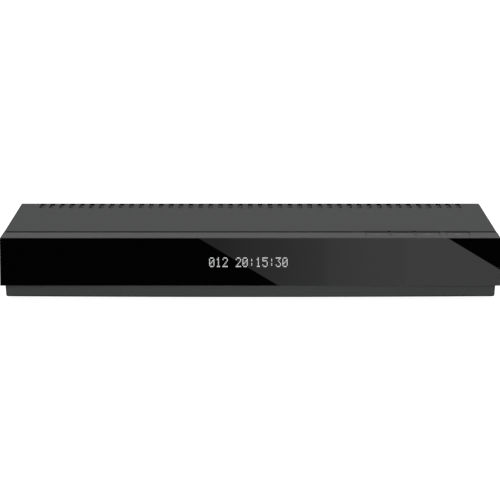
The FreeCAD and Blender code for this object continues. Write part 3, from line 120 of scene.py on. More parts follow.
class Nodes:
    """Builds one node tree."""

    def __init__(self, tree):
        self.tree = tree
        tree.nodes.clear()

    def add(self, kind, settings=None, sockets=None, output=0):
        """Any node: its type, its settings, then values or links of its sockets. Returns its output."""
        node = self.tree.nodes.new(kind)
        for key, value in (settings or {}).items():
            if key == "stops":
                set_stops(node.color_ramp, value)
            else:
                setattr(node, key, value)
        for key, value in (sockets or {}).items():
            socket = node.inputs[key]
            if isinstance(value, Number):
                self.tree.links.new(value.socket, socket)
            elif socket.type == "RGBA":
                socket.default_value = (*value, 1.0)
            else:
                socket.default_value = value
        return Number(self, node.outputs[output]) if node.outputs else None

    def seen_ray(self):
        """1 for rays of the camera, of mirror-like faces and through glass."""
        names = ("Is Camera Ray", "Is Glossy Ray", "Is Transmission Ray")
        camera, glossy, through = [self.add("ShaderNodeLightPath", output=name) for name in names]
        return (camera + glossy + through).smaller(1.0)


def set_stops(ramp, stops):
    """Gives a colour ramp these stops, each a position and a colour."""
    while len(ramp.elements) < len(stops):
        ramp.elements.new(1.0)
    for stop, (position, colour) in zip(ramp.elements, stops):
        stop.position = position
        stop.color = (*colour, 1.0)


class Finish(Nodes):
    """One procedural material and its node tree."""

    def __init__(self, name):
        self.material = bpy.data.materials.new(name)
        self.material.use_nodes = True
        super().__init__(self.material.node_tree)
        self.place = self.add("ShaderNodeTexCoord", output="Object")

    def axis(self, name):
        """One coordinate of the object's own space, in metres."""
        return self.add("ShaderNodeSeparateXYZ", sockets={0: self.place}, output=name)

    def facing(self, name):
        """One part of the surface's true normal in the object's own space."""
        normal = self.add("ShaderNodeTexCoord", output="Normal")
        return self.add("ShaderNodeSeparateXYZ", sockets={0: normal}, output=name)

    def noise(self, size, detail=3.0, roughness=0.55, squeeze=(1, 1, 1)):
        """Noise whose lumps are about this long, and shorter by squeeze along each axis."""
        scaled = self.add("ShaderNodeVectorMath", {"operation": "MULTIPLY"}, {0: self.place, 1: squeeze})
        sockets = {"Vector": scaled, "Scale": 1 / size, "Detail": detail, "Roughness": roughness}
        return self.add("ShaderNodeTexNoise", sockets=sockets)

    def cells(self, size):
        """Distance to the middle of the nearest of scattered cells about this wide, in cells."""
        return self.add("ShaderNodeTexVoronoi", sockets={"Vector": self.place, "Scale": 1 / size})

    def blend(self, factor, first, second):
        """Mix of two colours."""
        return self.add("ShaderNodeMix", {"data_type": "RGBA"}, {0: factor, 6: first, 7: second}, 2)

    def bump(self, height, distance, strength=1.0):
        """Relief whose heights from 0 to 1 span this distance."""
        sockets = {"Strength": strength, "Distance": distance, "Height": height}
        return self.add("ShaderNodeBump", sockets=sockets)

    def surface(self, shader):
        """Closes the tree with the material's output."""
        self.add("ShaderNodeOutputMaterial", sockets={"Surface": shader})

    def skin(self, **sockets):
        """A Principled surface, closed off as the material's output."""
        named = {key.replace("_", " "): value for key, value in sockets.items()}
        self.surface(self.add("ShaderNodeBsdfPrincipled", sockets=named))
        return self.material


def shade_pair(colour, spread):
    """The same colour a little darker and a little lighter."""
    return tuple(c * (1 - spread) for c in colour), tuple(min(1.0, c * (1 + spread)) for c in colour)


def grained(name, colour, roughness, grain, depth, spread=0.06, specular=0.4, wear=0.0):
    """Moulded or painted surface: fine grain, slow changes of tone and gloss, and rubbed patches."""
    finish = Finish(name)
    slow = finish.noise(40 * MM)
    fine = finish.noise(grain, 2.0)
    tone = finish.blend(slow * 0.7 + fine * 0.3, *shade_pair(colour, spread))
    gloss = roughness + (slow - 0.5) * 0.1 + (fine - 0.5) * 0.08
    if wear:
        rub = finish.noise(6 * MM, 4.0, 0.7).rise(0.62, 0.75) * wear
        tone = finish.blend(rub, tone, tuple(min(1.0, c * 1.9 + 0.01) for c in colour))
        gloss = gloss - rub * 0.12
    return finish.skin(
        Base_Color=tone, Roughness=gloss, Specular_IOR_Level=specular, Normal=finish.bump(fine, depth))


def brushed(name, colour, roughness, squeeze=(1, 40, 40), spread=0.12, depth=0.01 * MM):
    """Metal with fine lines along the axis that squeeze leaves longest, and faint stains."""
    finish = Finish(name)
    lines = finish.noise(10 * MM, 4.0, 0.6, squeeze)
    stain = finish.noise(12 * MM)
    tone = finish.blend(lines * 0.5 + stain * 0.5, *shade_pair(colour, spread))
    gloss = roughness + (lines - 0.5) * 0.2 + (stain - 0.5) * 0.15
    return finish.skin(Base_Color=tone, Roughness=gloss, Metallic=1.0, Normal=finish.bump(lines, depth))


def paint(material, *names):
    """Puts a material in every slot of these CAD nodes."""
    for name in names:
        slots = NODES[name].material_slots
        if not slots:
            raise RuntimeError(f"{name} has no material slot")
        for slot in slots:
            slot.material = material


# ------------------------------------------------------------------ mesh helpers

def mesh_object(name, mesh, material):
    """A finished mesh as an object of the scene."""
    data = bpy.data.meshes.new(name)
    mesh.to_mesh(data)
    mesh.free()
    data.materials.append(material)
    made = bpy.data.objects.new(name, data)
    bpy.context.collection.objects.link(made)
    return made


def mesh_piece(name, mesh, material, body):
    """A finished mesh as a piece that rides on a body."""
    piece = mesh_object(name, mesh, material)
    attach(piece, body)
    return piece


def add_block(mesh, low, high):
    """An upright box between two corners."""
    low, high = Vector(low), Vector(high)
    size = high - low
    place = Matrix.Translation((low + high) / 2) @ Matrix.Diagonal((*size, 1.0))
    bmesh.ops.create_cube(mesh, size=1.0, matrix=place)


def add_sheet(mesh, outline, thickness, place):
    """A flat outline of (x, y) points, given a thickness along its own Z and put in place."""
    lower = [mesh.verts.new(place @ Vector((x, y, 0))) for x, y in outline]
    upper = [mesh.verts.new(place @ Vector((x, y, thickness))) for x, y in outline]
    mesh.faces.new(reversed(lower))
    mesh.faces.new(upper)
    for i in range(len(outline)):
        j = (i + 1) % len(outline)
        mesh.faces.new((lower[i], lower[j], upper[j], upper[i]))


def add_strip(mesh, path, width, thickness, place, closed=False):
    """A stroke of even width along a flat path of (x, y) points, with a thickness along its own Z."""
    count = len(path)
    left, right = [], []
    for i, (x, y) in enumerate(path):
        if closed:
            before, after = path[i - 1], path[(i + 1) % count]
        else:
            before, after = path[max(0, i - 1)], path[min(count - 1, i + 1)]
        dx, dy = after[0] - before[0], after[1] - before[1]
        length = math.hypot(dx, dy)
        nx, ny = -dy / length * width / 2, dx / length * width / 2
        left.append((x + nx, y + ny))
        right.append((x - nx, y - ny))
    low_left, low_right, high_left, high_right = [
        [mesh.verts.new(place @ Vector((x, y, z))) for x, y in side]
        for z in (0, thickness) for side in (left, right)]
    for i in range(count if closed else count - 1):
        j = (i + 1) % count
        mesh.faces.new((low_left[i], low_left[j], low_right[j], low_right[i]))
        mesh.faces.new((high_right[i], high_right[j], high_left[j], high_left[i]))
        mesh.faces.new((low_left[j], low_left[i], high_left[i], high_left[j]))
        mesh.faces.new((low_right[i], low_right[j], high_right[j], high_right[i]))
    if not closed:
        for i, order in ((0, 1), (count - 1, -1)):
            loop = (low_left[i], low_right[i], high_right[i], high_left[i])
            mesh.faces.new(loop[::order])


def level_rectangle(left, right, near, far, z):
    """A flat mesh that faces up."""
    mesh = bmesh.new()
    corners = ((left, near), (right, near), (right, far), (left, far))
    mesh.faces.new([mesh.verts.new((x, y, z)) for x, y in corners])
    return mesh


def arc(radius, start, end, steps):
    """Points of an arc, angles in degrees."""
    angles = [math.radians(start + (end - start) * i / steps) for i in range(steps + 1)]
    return [(radius * math.cos(a), radius * math.sin(a)) for a in angles]


def in_metres(points):
    """Points given in millimetres."""
    return [(x * MM, y * MM) for x, y in points]


def spaced(count, pitch):
    """Places of an even row, from its middle."""
    return [(i - (count - 1) / 2) * pitch for i in range(count)]


# marks on the keys: strokes of (x, y) points in millimetres, and whether each stroke is closed
KEY_MARKS = {
    "key_channel_down": [([(-1.6, 0.8), (0, -0.9), (1.6, 0.8)], False)],
    "key_channel_up": [([(-1.6, -0.8), (0, 0.9), (1.6, -0.8)], False)],
    "key_ok": [(arc(1.4, 0, 348.75, 31), True)],
    "key_standby": [(arc(1.4, 125, 415, 28), False), ([(0, 0.2), (0, 1.9)], False)],
}


# ------------------------------------------------------------------ settings

def colour_setting(name, description, default):
    """A colour that the user may change."""
    return FloatVectorProperty(
        name=name, description=description, default=default, subtype="COLOR", size=3, min=0, max=1)


def length_setting(name, description, default, low, high):
    """A length that the user may change between two ends."""
    return FloatProperty(
        name=name, description=description, default=default, min=low, max=high, unit="LENGTH", precision=5)


class ReceiverCase(PropertyGroup):
    """Paint of the folded sheets and grain of the moulded front."""

    cover: colour_setting("Cover paint", "Colour of the folded cover", (0.0550, 0.0565, 0.0557))
    tray: colour_setting("Tray paint", "Colour of the base tray", (0.042, 0.043, 0.0425))
    bezel: colour_setting(
        "Bezel plastic", "Colour of the moulded front and the keys", (0.0782, 0.0782, 0.0780))
    # the plinth's grey is greener than the bezel's, its own tint, and a little lighter, as painted light that
    # makes up for the lesser light on its front face
    plinth: colour_setting(
        "Plinth plastic", "Colour of the moulded front below the window", (0.0785, 0.0820, 0.0808))
    panel: colour_setting(
        "Rear panel paint", "Colour of the panel round the sockets", (0.040, 0.041, 0.0405))
    grain: length_setting("Grain", "Length of one bump of the paint's grain", 0.35 * MM, 0.05 * MM, 2 * MM)


class ReceiverDisplay(PropertyGroup):
    """Lit digits of the display."""

    digits: StringProperty(
        name="Digits", description="What the display shows: digits, colons and spaces",
        default="012 20:15:30")
    glow: colour_setting("Glow", "Colour of a lit dot", (0.86, 0.88, 0.86))
    brightness: FloatProperty(
        name="Brightness", description="Strength of a lit dot", default=0.9, min=0, max=5)
    pitch_across: length_setting(
        "Dot pitch across", "Between the dots of a row", 0.60 * MM, 0.2 * MM, 2 * MM)
    pitch_up: length_setting("Dot pitch up", "Between the rows of dots", 0.80 * MM, 0.2 * MM, 2 * MM)
    step: length_setting("Digit pitch", "Between neighbouring digits", 3.72 * MM, 1 * MM, 10 * MM)
    centre: FloatVectorProperty(
        name="Middle", description="Middle of the digits across and up, in the window", size=2,
        default=(-1.1 * MM, 22.95 * MM), unit="LENGTH")


class ReceiverStage(PropertyGroup):
    """Floor, background, lamps and camera."""

    distance: length_setting("Camera distance", "Camera in front of the window's face", 1.5636, 0.2, 10)
    height: length_setting("Camera height", "Camera above the floor", 0.2567, 0.0, 5)
    aside: length_setting("Camera offset", "Camera to the side of the middle", -0.2 * MM, -1, 1)
    tilt: FloatProperty(
        name="Camera tilt", description="How far the camera looks down", default=math.radians(8.255),
        min=-1.5, max=1.5, unit="ROTATION")
    lens: FloatProperty(
        name="Lens", description="Focal length in millimetres on a 36 mm sensor", default=203.7,
        min=10, max=500)
    sky: FloatProperty(
        name="Room light", description="Strength of the even light from all round", default=0.2,
        min=0, max=3)
    overhead: FloatProperty(
        name="Overhead lamp", description="Power of the soft lamp overhead", default=20.0,
        min=0, max=200, unit="POWER")
    front: FloatProperty(
        name="Front lamp", description="Power of the soft lamp in front", default=23.3,
        min=0, max=200, unit="POWER")
    floor_glow: FloatProperty(
        name="Floor glow", description="Lift of the floor as the camera sees it", default=0.955,
        min=0, max=2)


def user_settings(kind):
    """One of the groups above, as the scene holds it."""
    return getattr(bpy.context.scene, "receiver_" + kind)


# ------------------------------------------------------------------ case and front

class ReceiverOperator(Operator):
    """What the receiver's operators share."""

    bl_options = {"REGISTER", "UNDO"}

    def execute(self, context):
        self.make()
        return {"FINISHED"}


class RECEIVER_OT_case(ReceiverOperator):
    """Paints the cover, the tray and the rear panel"""

    bl_idname = "receiver.case"
    bl_label = "Case paint"

    def make(self):
        case = user_settings("case")
        paint(cover_paint(tuple(case.cover), case.grain), "top_cover")
        paint(grained("tray_paint", tuple(case.tray), 0.5, case.grain, 0.02 * MM, wear=0.25), "base_tray")
        paint(panel_paint(tuple(case.panel), case.grain), "rear_panel")


def cover_paint(colour, grain):
    """Powder paint with a fine orange peel. Its forward-facing cut edges and the upright walls of the roof's
    slots carry painted shade, near black but the paint's grey in the key notches, and the back fold's inside
    is zinc.
    """
    finish = Finish("cover_paint")
    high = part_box("top_cover")[1]
    x, y, z = [finish.axis(name) for name in "XYZ"]
    skin = 1.0 * MM          # a little more than the sheet's thickness
    side = 5.0 * MM          # less than from the side to the first slot
    blur = 0.05 * MM
    frontward = finish.facing("Y").rise(-0.5, -0.8)
    upright = abs(finish.facing("Z")).rise(0.6, 0.4)
    in_roof = z.rise(high.z - skin, high.z - skin + blur) * y.rise(high.y - skin, high.y - skin - blur)
    in_roof = in_roof * abs(x).rise(high.x - side, high.x - side - 2 * blur)
    # painted shade: forward-facing cut edges and the upright walls of the roof's slots are made near black,
    # standing in for the shade in the seam and the slots
    cut_edge_shade = frontward.larger(upright * in_roof)
    in_fold = y.rise(high.y - skin, high.y - skin + 2 * blur) * frontward
    slow, fine, peel = finish.noise(60 * MM), finish.noise(grain, 2.0), finish.noise(grain * 4, 1.0)
    # tone of the painted shade on the cut edges: near black, but the paint's own grey in the key notches
    edge = finish.blend(key_notches(finish), (0.003,) * 3, (0.055,) * 3)
    tone = finish.blend(slow * 0.6 + fine * 0.4, *shade_pair(colour, 0.05))
    tone = finish.blend(cut_edge_shade, tone, edge)
    tone = finish.blend(in_fold, tone, (0.16, 0.16, 0.165))
    gloss = 0.85 + (slow - 0.5) * 0.08 + (fine - 0.5) * 0.1
    return finish.skin(
        Base_Color=tone, Roughness=gloss, Specular_IOR_Level=0.04,
        Normal=finish.bump(fine * 0.6 + peel * 0.4, 0.02 * MM))


def key_notches(finish):
    """1 in the notches of the cover's front edge, behind each key and not between them. Here the cut edge
    keeps the paint's grey instead of the painted shade.
    """
    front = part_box("top_cover")[0].y
    x, y = finish.axis("X"), finish.axis("Y")
    blur = 0.1 * MM
    spans = [[corner.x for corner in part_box(key)] for key in KEY_MARKS]
    behind = sum(x.rise(left - blur, left) * x.rise(right + blur, right) for left, right in spans)
    past_edge = y.rise(front + 0.4 * MM, front + 0.8 * MM)
    return behind * past_edge * y.rise(front + 4.0 * MM, front + 3.0 * MM)


def panel_paint(colour, grain):
    """The rear panel: dark paint outside, bare spangled zinc inside."""
    finish = Finish("panel_paint")
    outside = finish.facing("Y").rise(-0.6, -0.4)
    slow = finish.noise(30 * MM)
    fine = finish.noise(grain, 2.0)
    tone = finish.blend(slow * 0.6 + fine * 0.4, *shade_pair(colour, 0.06))
    zinc = finish.blend(finish.cells(6 * MM), (0.125, 0.125, 0.13), (0.2, 0.2, 0.205))
    return finish.skin(
        Base_Color=finish.blend(outside, zinc, tone), Roughness=0.5 + (fine - 0.5) * 0.12,
        Metallic=(1 - outside) * 0.6, Specular_IOR_Level=0.4, Normal=finish.bump(fine, 0.02 * MM))


class RECEIVER_OT_front(ReceiverOperator):
    """Grains the moulded front and the keys"""

    bl_idname = "receiver.front"
    bl_label = "Front moulding"

    def make(self):
        case = user_settings("case")
        upper, lower = tuple(case.bezel), tuple(case.plinth)
        paint(moulding_finish(upper, lower), "front_bezel")
        paint(grained("key_plastic", upper, 0.83, 0.2 * MM, 0.01 * MM, 0.04, 0.04, wear=0.05), *KEY_MARKS)


def moulding_finish(colour, lifted_plinth_grey):
    """Finely spark-eroded plastic: one grey above, and one for the plinth that is greener, its own tint, and
    a little lighter, as painted light for its front face. Faces that turn down are darkened as painted shade.
    """
    finish = Finish("bezel_plastic")
    slow = finish.noise(40 * MM)
    fine = finish.noise(0.25 * MM, 2.0)
    speckle = slow * 0.7 + fine * 0.3
    upper, lower = [finish.blend(speckle, *shade_pair(grey, 0.04)) for grey in (colour, lifted_plinth_grey)]
    window_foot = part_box("front_window")[0].z
    blur = 0.1 * MM
    # below the window's foot the plinth's grey, whose slight lift over the bezel's grey is painted light
    tone = finish.blend(finish.axis("Z").rise(window_foot + blur, window_foot - blur), upper, lower)
    # painted shade: faces that turn down are darkened to a tenth of the bezel's grey, standing in for the
    # shade along the plinth's bottom edge
    under = finish.facing("Z").rise(-0.02, -0.3)
    tone = finish.blend(under, tone, tuple(c * 0.1 for c in colour))
    gloss = 0.85 + (slow - 0.5) * 0.1 + (fine - 0.5) * 0.08
    return finish.skin(
        Base_Color=tone, Roughness=gloss, Specular_IOR_Level=0.04, Normal=finish.bump(fine, 0.015 * MM))


class RECEIVER_OT_window(ReceiverOperator):
    """Polishes the black window"""

    bl_idname = "receiver.window"
    bl_label = "Window"

    def make(self):
        paint(window_gloss(), "front_window")
        paint(grained("tape", (0.02,) * 3, 0.9, 0.4 * MM, 0.04 * MM), "window_tape")


def window_gloss():
    """Polished black plastic with sparse dust. Its sawn top edge is matt, and paler where it is level."""
    finish = Finish("window_black")
    dust = finish.noise(1.2 * MM, 2.0, 0.7).rise(0.68, 0.8)
    haze = finish.noise(50 * MM)
    sawn = finish.facing("Z").rise(0.05, 0.15)
    level = finish.facing("Z").rise(0.6, 0.95)
    tone = finish.blend(dust * 0.15, (0.0012, 0.0012, 0.0014), (0.01,) * 3)
    tone = finish.blend(level, tone, (0.04,) * 3)
    return finish.skin(
        Base_Color=tone, Roughness=0.004 + haze * 0.004 + dust * 0.03 + sawn, IOR=1.49,
        Normal=finish.bump(haze, 0.01 * MM, 0.1))


# the display's signs: rows of dots from the top, each a number whose bits are the dots
DOT_COLUMNS = 5
DOT_ROWS = {
    "0": (14, 17, 19, 21, 25, 17, 14), "1": (4, 12, 4, 4, 4, 4, 14), "2": (14, 17, 1, 2, 4, 8, 31),
    "3": (31, 2, 4, 2, 1, 17, 14), "4": (2, 6, 10, 18, 31, 2, 2), "5": (31, 16, 30, 1, 1, 17, 14),
    "6": (6, 8, 16, 30, 17, 17, 14), "7": (31, 1, 2, 4, 8, 8, 8), "8": (14, 17, 17, 14, 17, 17, 14),
    "9": (14, 17, 17, 15, 1, 2, 12), ":": (0, 4, 4, 0, 4, 4, 0), " ": (0,) * 7,
}


class RECEIVER_OT_display(ReceiverOperator):
    """Lights the display's dots as digits in the window"""

    bl_idname = "receiver.display"
    bl_label = "Display digits"

    dot_share: FloatProperty(
        name="Dot share", description="Lit part of the dot pitch", default=0.78, min=0.2, max=1)
    corner_share: FloatProperty(
        name="Corner share", description="Part of a dot's half width that its corners lose",
        default=0.45, min=0.01, max=0.9)
    proud: length_setting(
        "Thickness", "Dots in front of the window's face", 0.02 * MM, 0.005 * MM, 1 * MM)

    def make(self):
        show = user_settings("display")
        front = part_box("front_window")[0].y
        outline = self.dot(show.pitch_across * self.dot_share / 2, show.pitch_up * self.dot_share / 2)
        mesh = bmesh.new()
        for x, z in lit_dots(show):
            place = Matrix.Translation((x, front, z)) @ Matrix.Rotation(math.radians(90), 4, "X")
            add_sheet(mesh, outline, self.proud, place)
        mesh_piece("display_digits", mesh, display_glow(show), "case")

    def dot(self, wide, tall):
        """Outline of a dot with these half sizes and its corners cut off."""
        cut = wide * self.corner_share
        return [(-wide + cut, -tall), (wide - cut, -tall), (wide, -tall + cut), (wide, tall - cut),
                (wide - cut, tall), (-wide + cut, tall), (-wide, tall - cut), (-wide, -tall + cut)]


def lit_dots(show):
    """Middles of the lit dots, across and up."""
    for sign, middle in zip(show.digits, spaced(len(show.digits), show.step)):
        rows = DOT_ROWS[sign]
        for bits, down in zip(rows, spaced(len(rows), show.pitch_up)):
            for column, across in enumerate(spaced(DOT_COLUMNS, show.pitch_across)):
                if bits >> (DOT_COLUMNS - 1 - column) & 1:
                    yield show.centre[0] + middle + across, show.centre[1] - down


def display_glow(show):
    """Light of the dots, broken up by the fine mesh in front of them."""
    finish = Finish("display_glow")
    veil = finish.noise(0.6 * MM, 1.0)
    tone = finish.blend(veil, tuple(c * 0.9 for c in show.glow), tuple(show.glow))
    return finish.skin(
        Base_Color=(0.02,) * 3, Roughness=0.4, Emission_Color=tone, Emission_Strength=show.brightness,
        Specular_IOR_Level=0.2)


class RECEIVER_OT_key_marks(ReceiverOperator):
    """Prints a small mark on each key"""

    bl_idname = "receiver.key_marks"
    bl_label = "Key marks"

    stroke: length_setting("Stroke", "Width of a printed line", 0.32 * MM, 0.1 * MM, 1 * MM)
    film: length_setting("Film", "Thickness of the print", 0.015 * MM, 0.001 * MM, 0.1 * MM)

    def make(self):
        ink = grained("key_print", (0.12,) * 3, 0.6, 0.3 * MM, 0.005 * MM)
        for name, strokes in KEY_MARKS.items():
            low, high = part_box(name)
            place = Matrix.Translation(((low.x + high.x) / 2, (low.y + high.y) / 2, high.z))
            mesh = bmesh.new()
            for points, closed in strokes:
                add_strip(mesh, in_metres(points), self.stroke, self.film, place, closed)
            mesh_piece("mark_" + name, mesh, ink, name)


# ------------------------------------------------------------------ inside and card bay

class RECEIVER_OT_small_fittings(ReceiverOperator):
    """Finishes the screws, the feet and the card bay"""

    bl_idname = "receiver.small_fittings"
    bl_label = "Screws, feet and card bay"

    def make(self):
        paint(grained("screw_black", (0.03, 0.03, 0.031), 0.42, 0.2 * MM, 0.01 * MM, wear=0.5), "case_screws")
        paint(brushed("screw_zinc", (0.5, 0.5, 0.51), 0.38, (12, 12, 12)),
              "underside_screws", "board_screws", "small_screws", "lever_rivet")
        paint(grained("foot_rubber", (0.014,) * 3, 0.85, 0.3 * MM, 0.05 * MM, 0.15, 0.2), "rubber_feet")
        paint(grained("bay_plastic", (0.03, 0.031, 0.031), 0.5, 0.25 * MM, 0.015 * MM),
              "card_bay_frame", "eject_rod")
        paint(brushed("cage_tin", (0.36, 0.36, 0.355), 0.42), "card_cage", "eject_lever", "tuner_can")
        paint(grained("black_nylon", (0.014, 0.014, 0.015), 0.55, 0.25 * MM, 0.01 * MM, 0.1),
              "card_header", "smart_card_reader", "rod_guides", "display_frame", "key_switches")


class RECEIVER_OT_boards(ReceiverOperator):
    """Finishes the boards and the parts on them"""

    bl_idname = "receiver.boards"
    bl_label = "Boards"

    def make(self):
        paint(solder_mask(), "main_board", "front_board", "key_board")
        paint(grained("chip_epoxy", (0.012, 0.012, 0.0125), 0.6, 0.15 * MM, 0.01 * MM, 0.1),
              "chips", "choke_coils")
        paint(brushed("sink_aluminium", (0.5, 0.51, 0.52), 0.4, (40, 1, 40)), "heat_sink")
        paint(can_sleeve(), "filter_capacitors")
        paint(brushed("standoff_brass", (0.62, 0.42, 0.16), 0.3, (40, 40, 1)), "board_standoffs")
        paint(grained("display_pane", (0.006, 0.008, 0.008), 0.12, 0.6 * MM, 0.002 * MM), "display_glass")
        paint(grained("infrared_lens", (0.01, 0.006, 0.01), 0.15, 0.6 * MM, 0.002 * MM),
              "infrared_receiver")
        paint(grained("lamp_epoxy", (0.45, 0.03, 0.02), 0.25, 0.5 * MM, 0.003 * MM), "standby_lamp")
        paint(grained("clear_acrylic", (0.7, 0.7, 0.7), 0.15, 0.5 * MM, 0.003 * MM), "light_pipe")
        paint(grained("white_nylon", (0.6, 0.59, 0.55), 0.5, 0.25 * MM, 0.01 * MM),
              "ribbon_sockets", "aerial_inserts", "audio_cores")
        paint(ribbon_film(), "flat_cable")


def solder_mask():
    """Green lacquer with tracks that show as faint raised lines, and tinned dots."""
    finish = Finish("solder_mask")
    tracks_per_metre = 420
    track = (finish.axis("X") * tracks_per_metre + finish.noise(30 * MM) * 6).fraction()
    lines = abs(track - 0.5).rise(0.16, 0.12) * finish.noise(15 * MM).rise(0.48, 0.52)
    pads = finish.cells(4 * MM).rise(0.16, 0.13)
    tone = finish.blend(lines, (0.008, 0.055, 0.02), (0.014, 0.11, 0.038))
    tone = finish.blend(pads, tone, (0.55, 0.55, 0.53))
    return finish.skin(
        Base_Color=tone, Roughness=0.35 + pads * 0.1, Metallic=pads,
        Normal=finish.bump(lines + pads * 0.5, 0.03 * MM))


def can_sleeve():
    """Black film sleeve with a bare aluminium top."""
    finish = Finish("can_sleeve")
    top = finish.facing("Z").rise(0.5, 0.8)
    stain = finish.noise(3 * MM)
    tone = finish.blend(top, (0.015, 0.015, 0.02), (0.55, 0.55, 0.56))
    return finish.skin(Base_Color=tone, Roughness=0.35 + stain * 0.15, Metallic=top)


def ribbon_film():
    """White film with the conductors showing through as faint lines."""
    finish = Finish("ribbon_film")
    wires_per_metre = 1000
    wires = abs((finish.axis("X") * wires_per_metre).fraction() - 0.5).rise(0.3, 0.2)
    tone = finish.blend(wires, (0.72, 0.72, 0.7), (0.5, 0.51, 0.53))
    return finish.skin(
        Base_Color=tone, Roughness=0.4 + wires * 0.1, Normal=finish.bump(wires, 0.03 * MM))


# ------------------------------------------------------------------ back

class RECEIVER_OT_sockets(ReceiverOperator):
    """Finishes the sockets on the rear panel"""

    bl_idname = "receiver.sockets"
    bl_label = "Sockets"

    def make(self):
        paint(grained("socket_black", (0.017, 0.017, 0.018), 0.45, 0.25 * MM, 0.01 * MM, 0.1),
              "network_socket", "audio_block", "optical_socket", "optical_shutter", "scart_socket",
              "rocker_housing", "power_inlet", "video_tongue", "bus_tongues")
        paint(grained("rocker_gloss", (0.014, 0.014, 0.015), 0.22, 0.5 * MM, 0.003 * MM), "power_rocker")
        paint(brushed("shell_nickel", (0.6, 0.59, 0.57), 0.28, (6, 20, 20)),
              "video_socket", "bus_socket", "power_inlet_pin")
        paint(nickel(), "aerial_nuts", "audio_sleeves")
        paint(gold(), "network_contacts")
        paint(ring_colours(), "audio_rings")


def nickel():
    return brushed("nickel_plate", (0.66, 0.63, 0.57), 0.2, (10, 10, 10), 0.06, 0.004 * MM)


def gold():
    return brushed("contact_gold", (0.8, 0.56, 0.2), 0.25, (10, 10, 10), 0.06, 0.004 * MM)


def ring_colours():
    """Red, white and yellow rings, told apart by their place."""
    finish = Finish("ring_colours")
    low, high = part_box("audio_rings")
    middle, half_pitch = (low.x + high.x) / 2, (high.x - low.x) / 6
    blur = half_pitch / 100
    x = finish.axis("X")
    past_yellow, past_white = [
        x.rise(place - blur, place + blur) for place in (middle - half_pitch, middle + half_pitch)]
    yellow, white, red = (0.62, 0.42, 0.02), (0.6, 0.6, 0.58), (0.45, 0.012, 0.01)
    tone = finish.blend(past_white, finish.blend(past_yellow, yellow, white), red)
    speck = finish.noise(0.8 * MM)
    return finish.skin(
        Base_Color=tone, Roughness=0.28 + speck * 0.1, Normal=finish.bump(speck, 0.004 * MM))


class RECEIVER_OT_aerial_threads(ReceiverOperator):
    """Cuts the fine thread of the two aerial sockets"""

    bl_idname = "receiver.aerial_threads"
    bl_label = "Aerial threads"

    pitch: length_setting(
        "Pitch", "Between neighbouring turns of the thread", 0.794 * MM, 0.2 * MM, 3 * MM)
    depth: length_setting("Depth", "Crest to root", 0.42 * MM, 0.05 * MM, 2 * MM)
    foot: length_setting("Foot", "Plain part at the tuner", 0.2 * MM, 0.05 * MM, 5 * MM)
    lip: length_setting("Lip", "Bevel at the mouth", 0.4 * MM, 0.05 * MM, 1 * MM)
    bore: length_setting(
        "Bore", "Radius of the bore that holds the insulator", 3.3 * MM, 0.5 * MM, 10 * MM)
    bore_depth: length_setting("Bore depth", "From the mouth to the bore's floor", 9 * MM, 0.5 * MM, 30 * MM)

    rings_per_turn = 8
    points_per_ring = 48

    def make(self):
        low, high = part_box("aerial_sockets")
        radius = (high.z - low.z) / 2
        mesh = bmesh.new()
        for x in (low.x + radius, high.x - radius):
            self.add_barrel(mesh, Vector((x, 0, (high.z + low.z) / 2)), radius, low.y, high.y)
        piece = mesh_piece("aerial_barrels", mesh, nickel(), "case")
        piece.data.shade_smooth()
        piece.data.set_sharp_from_angle(angle=math.radians(50))
        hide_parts("aerial_sockets")

    def add_barrel(self, mesh, centre, radius, back, mouth):
        """One closed threaded tube, from the tuner's face to the mouth and down to the bore's floor."""
        rings = [self.ring(mesh, centre, y, size) for y, size in self.profile(radius, back, mouth)]
        for one, two in zip(rings, rings[1:]):
            for k in range(self.points_per_ring):
                n = (k + 1) % self.points_per_ring
                corners = dict.fromkeys((one[k], two[k], two[n], one[n]))
                mesh.faces.new(list(corners))

    def profile(self, radius, back, mouth):
        """Each ring's place along the barrel and its radius, which on the thread depends on the turn."""
        start, end, floor = back + self.foot, mouth - self.lip, mouth - self.bore_depth
        count = int((end - start) / (self.pitch / self.rings_per_turn))
        thread = [start + (end - start) / count * i for i in range(1, count)]
        root, bevel_foot = radius - self.depth, radius - self.depth * 0.8
        bevel_top = radius - self.lip - self.depth * 0.5
        rows = [(back, 0.0), (back, root), (start, root)]
        rows += [(y, lambda turn, y=y: self.crest(radius, y, turn)) for y in thread]
        rows += [(end, bevel_foot), (mouth, bevel_top), (mouth, self.bore), (floor, self.bore), (floor, 0.0)]
        return rows

    def crest(self, radius, y, turn):
        """Radius of the thread at a place along the barrel and a turn from 0 to 1."""
        wave = abs((y / self.pitch - turn) % 1.0 * 2 - 1)
        return radius - self.depth * min(1.0, max(0.0, (wave - 0.12) * 1.3))

    def ring(self, mesh, centre, y, size):
        """Points of one ring, or one point again and again where it has no size."""
        count = self.points_per_ring
        if size == 0.0:
            return [mesh.verts.new((centre.x, y, centre.z))] * count
        points = []
        for turn in (k / count for k in range(count)):
            reach = size(turn) if callable(size) else size
            angle = 2 * math.pi * turn
            points.append(mesh.verts.new(
                (centre.x + reach * math.cos(angle), y, centre.z + reach * math.sin(angle))))
        return points


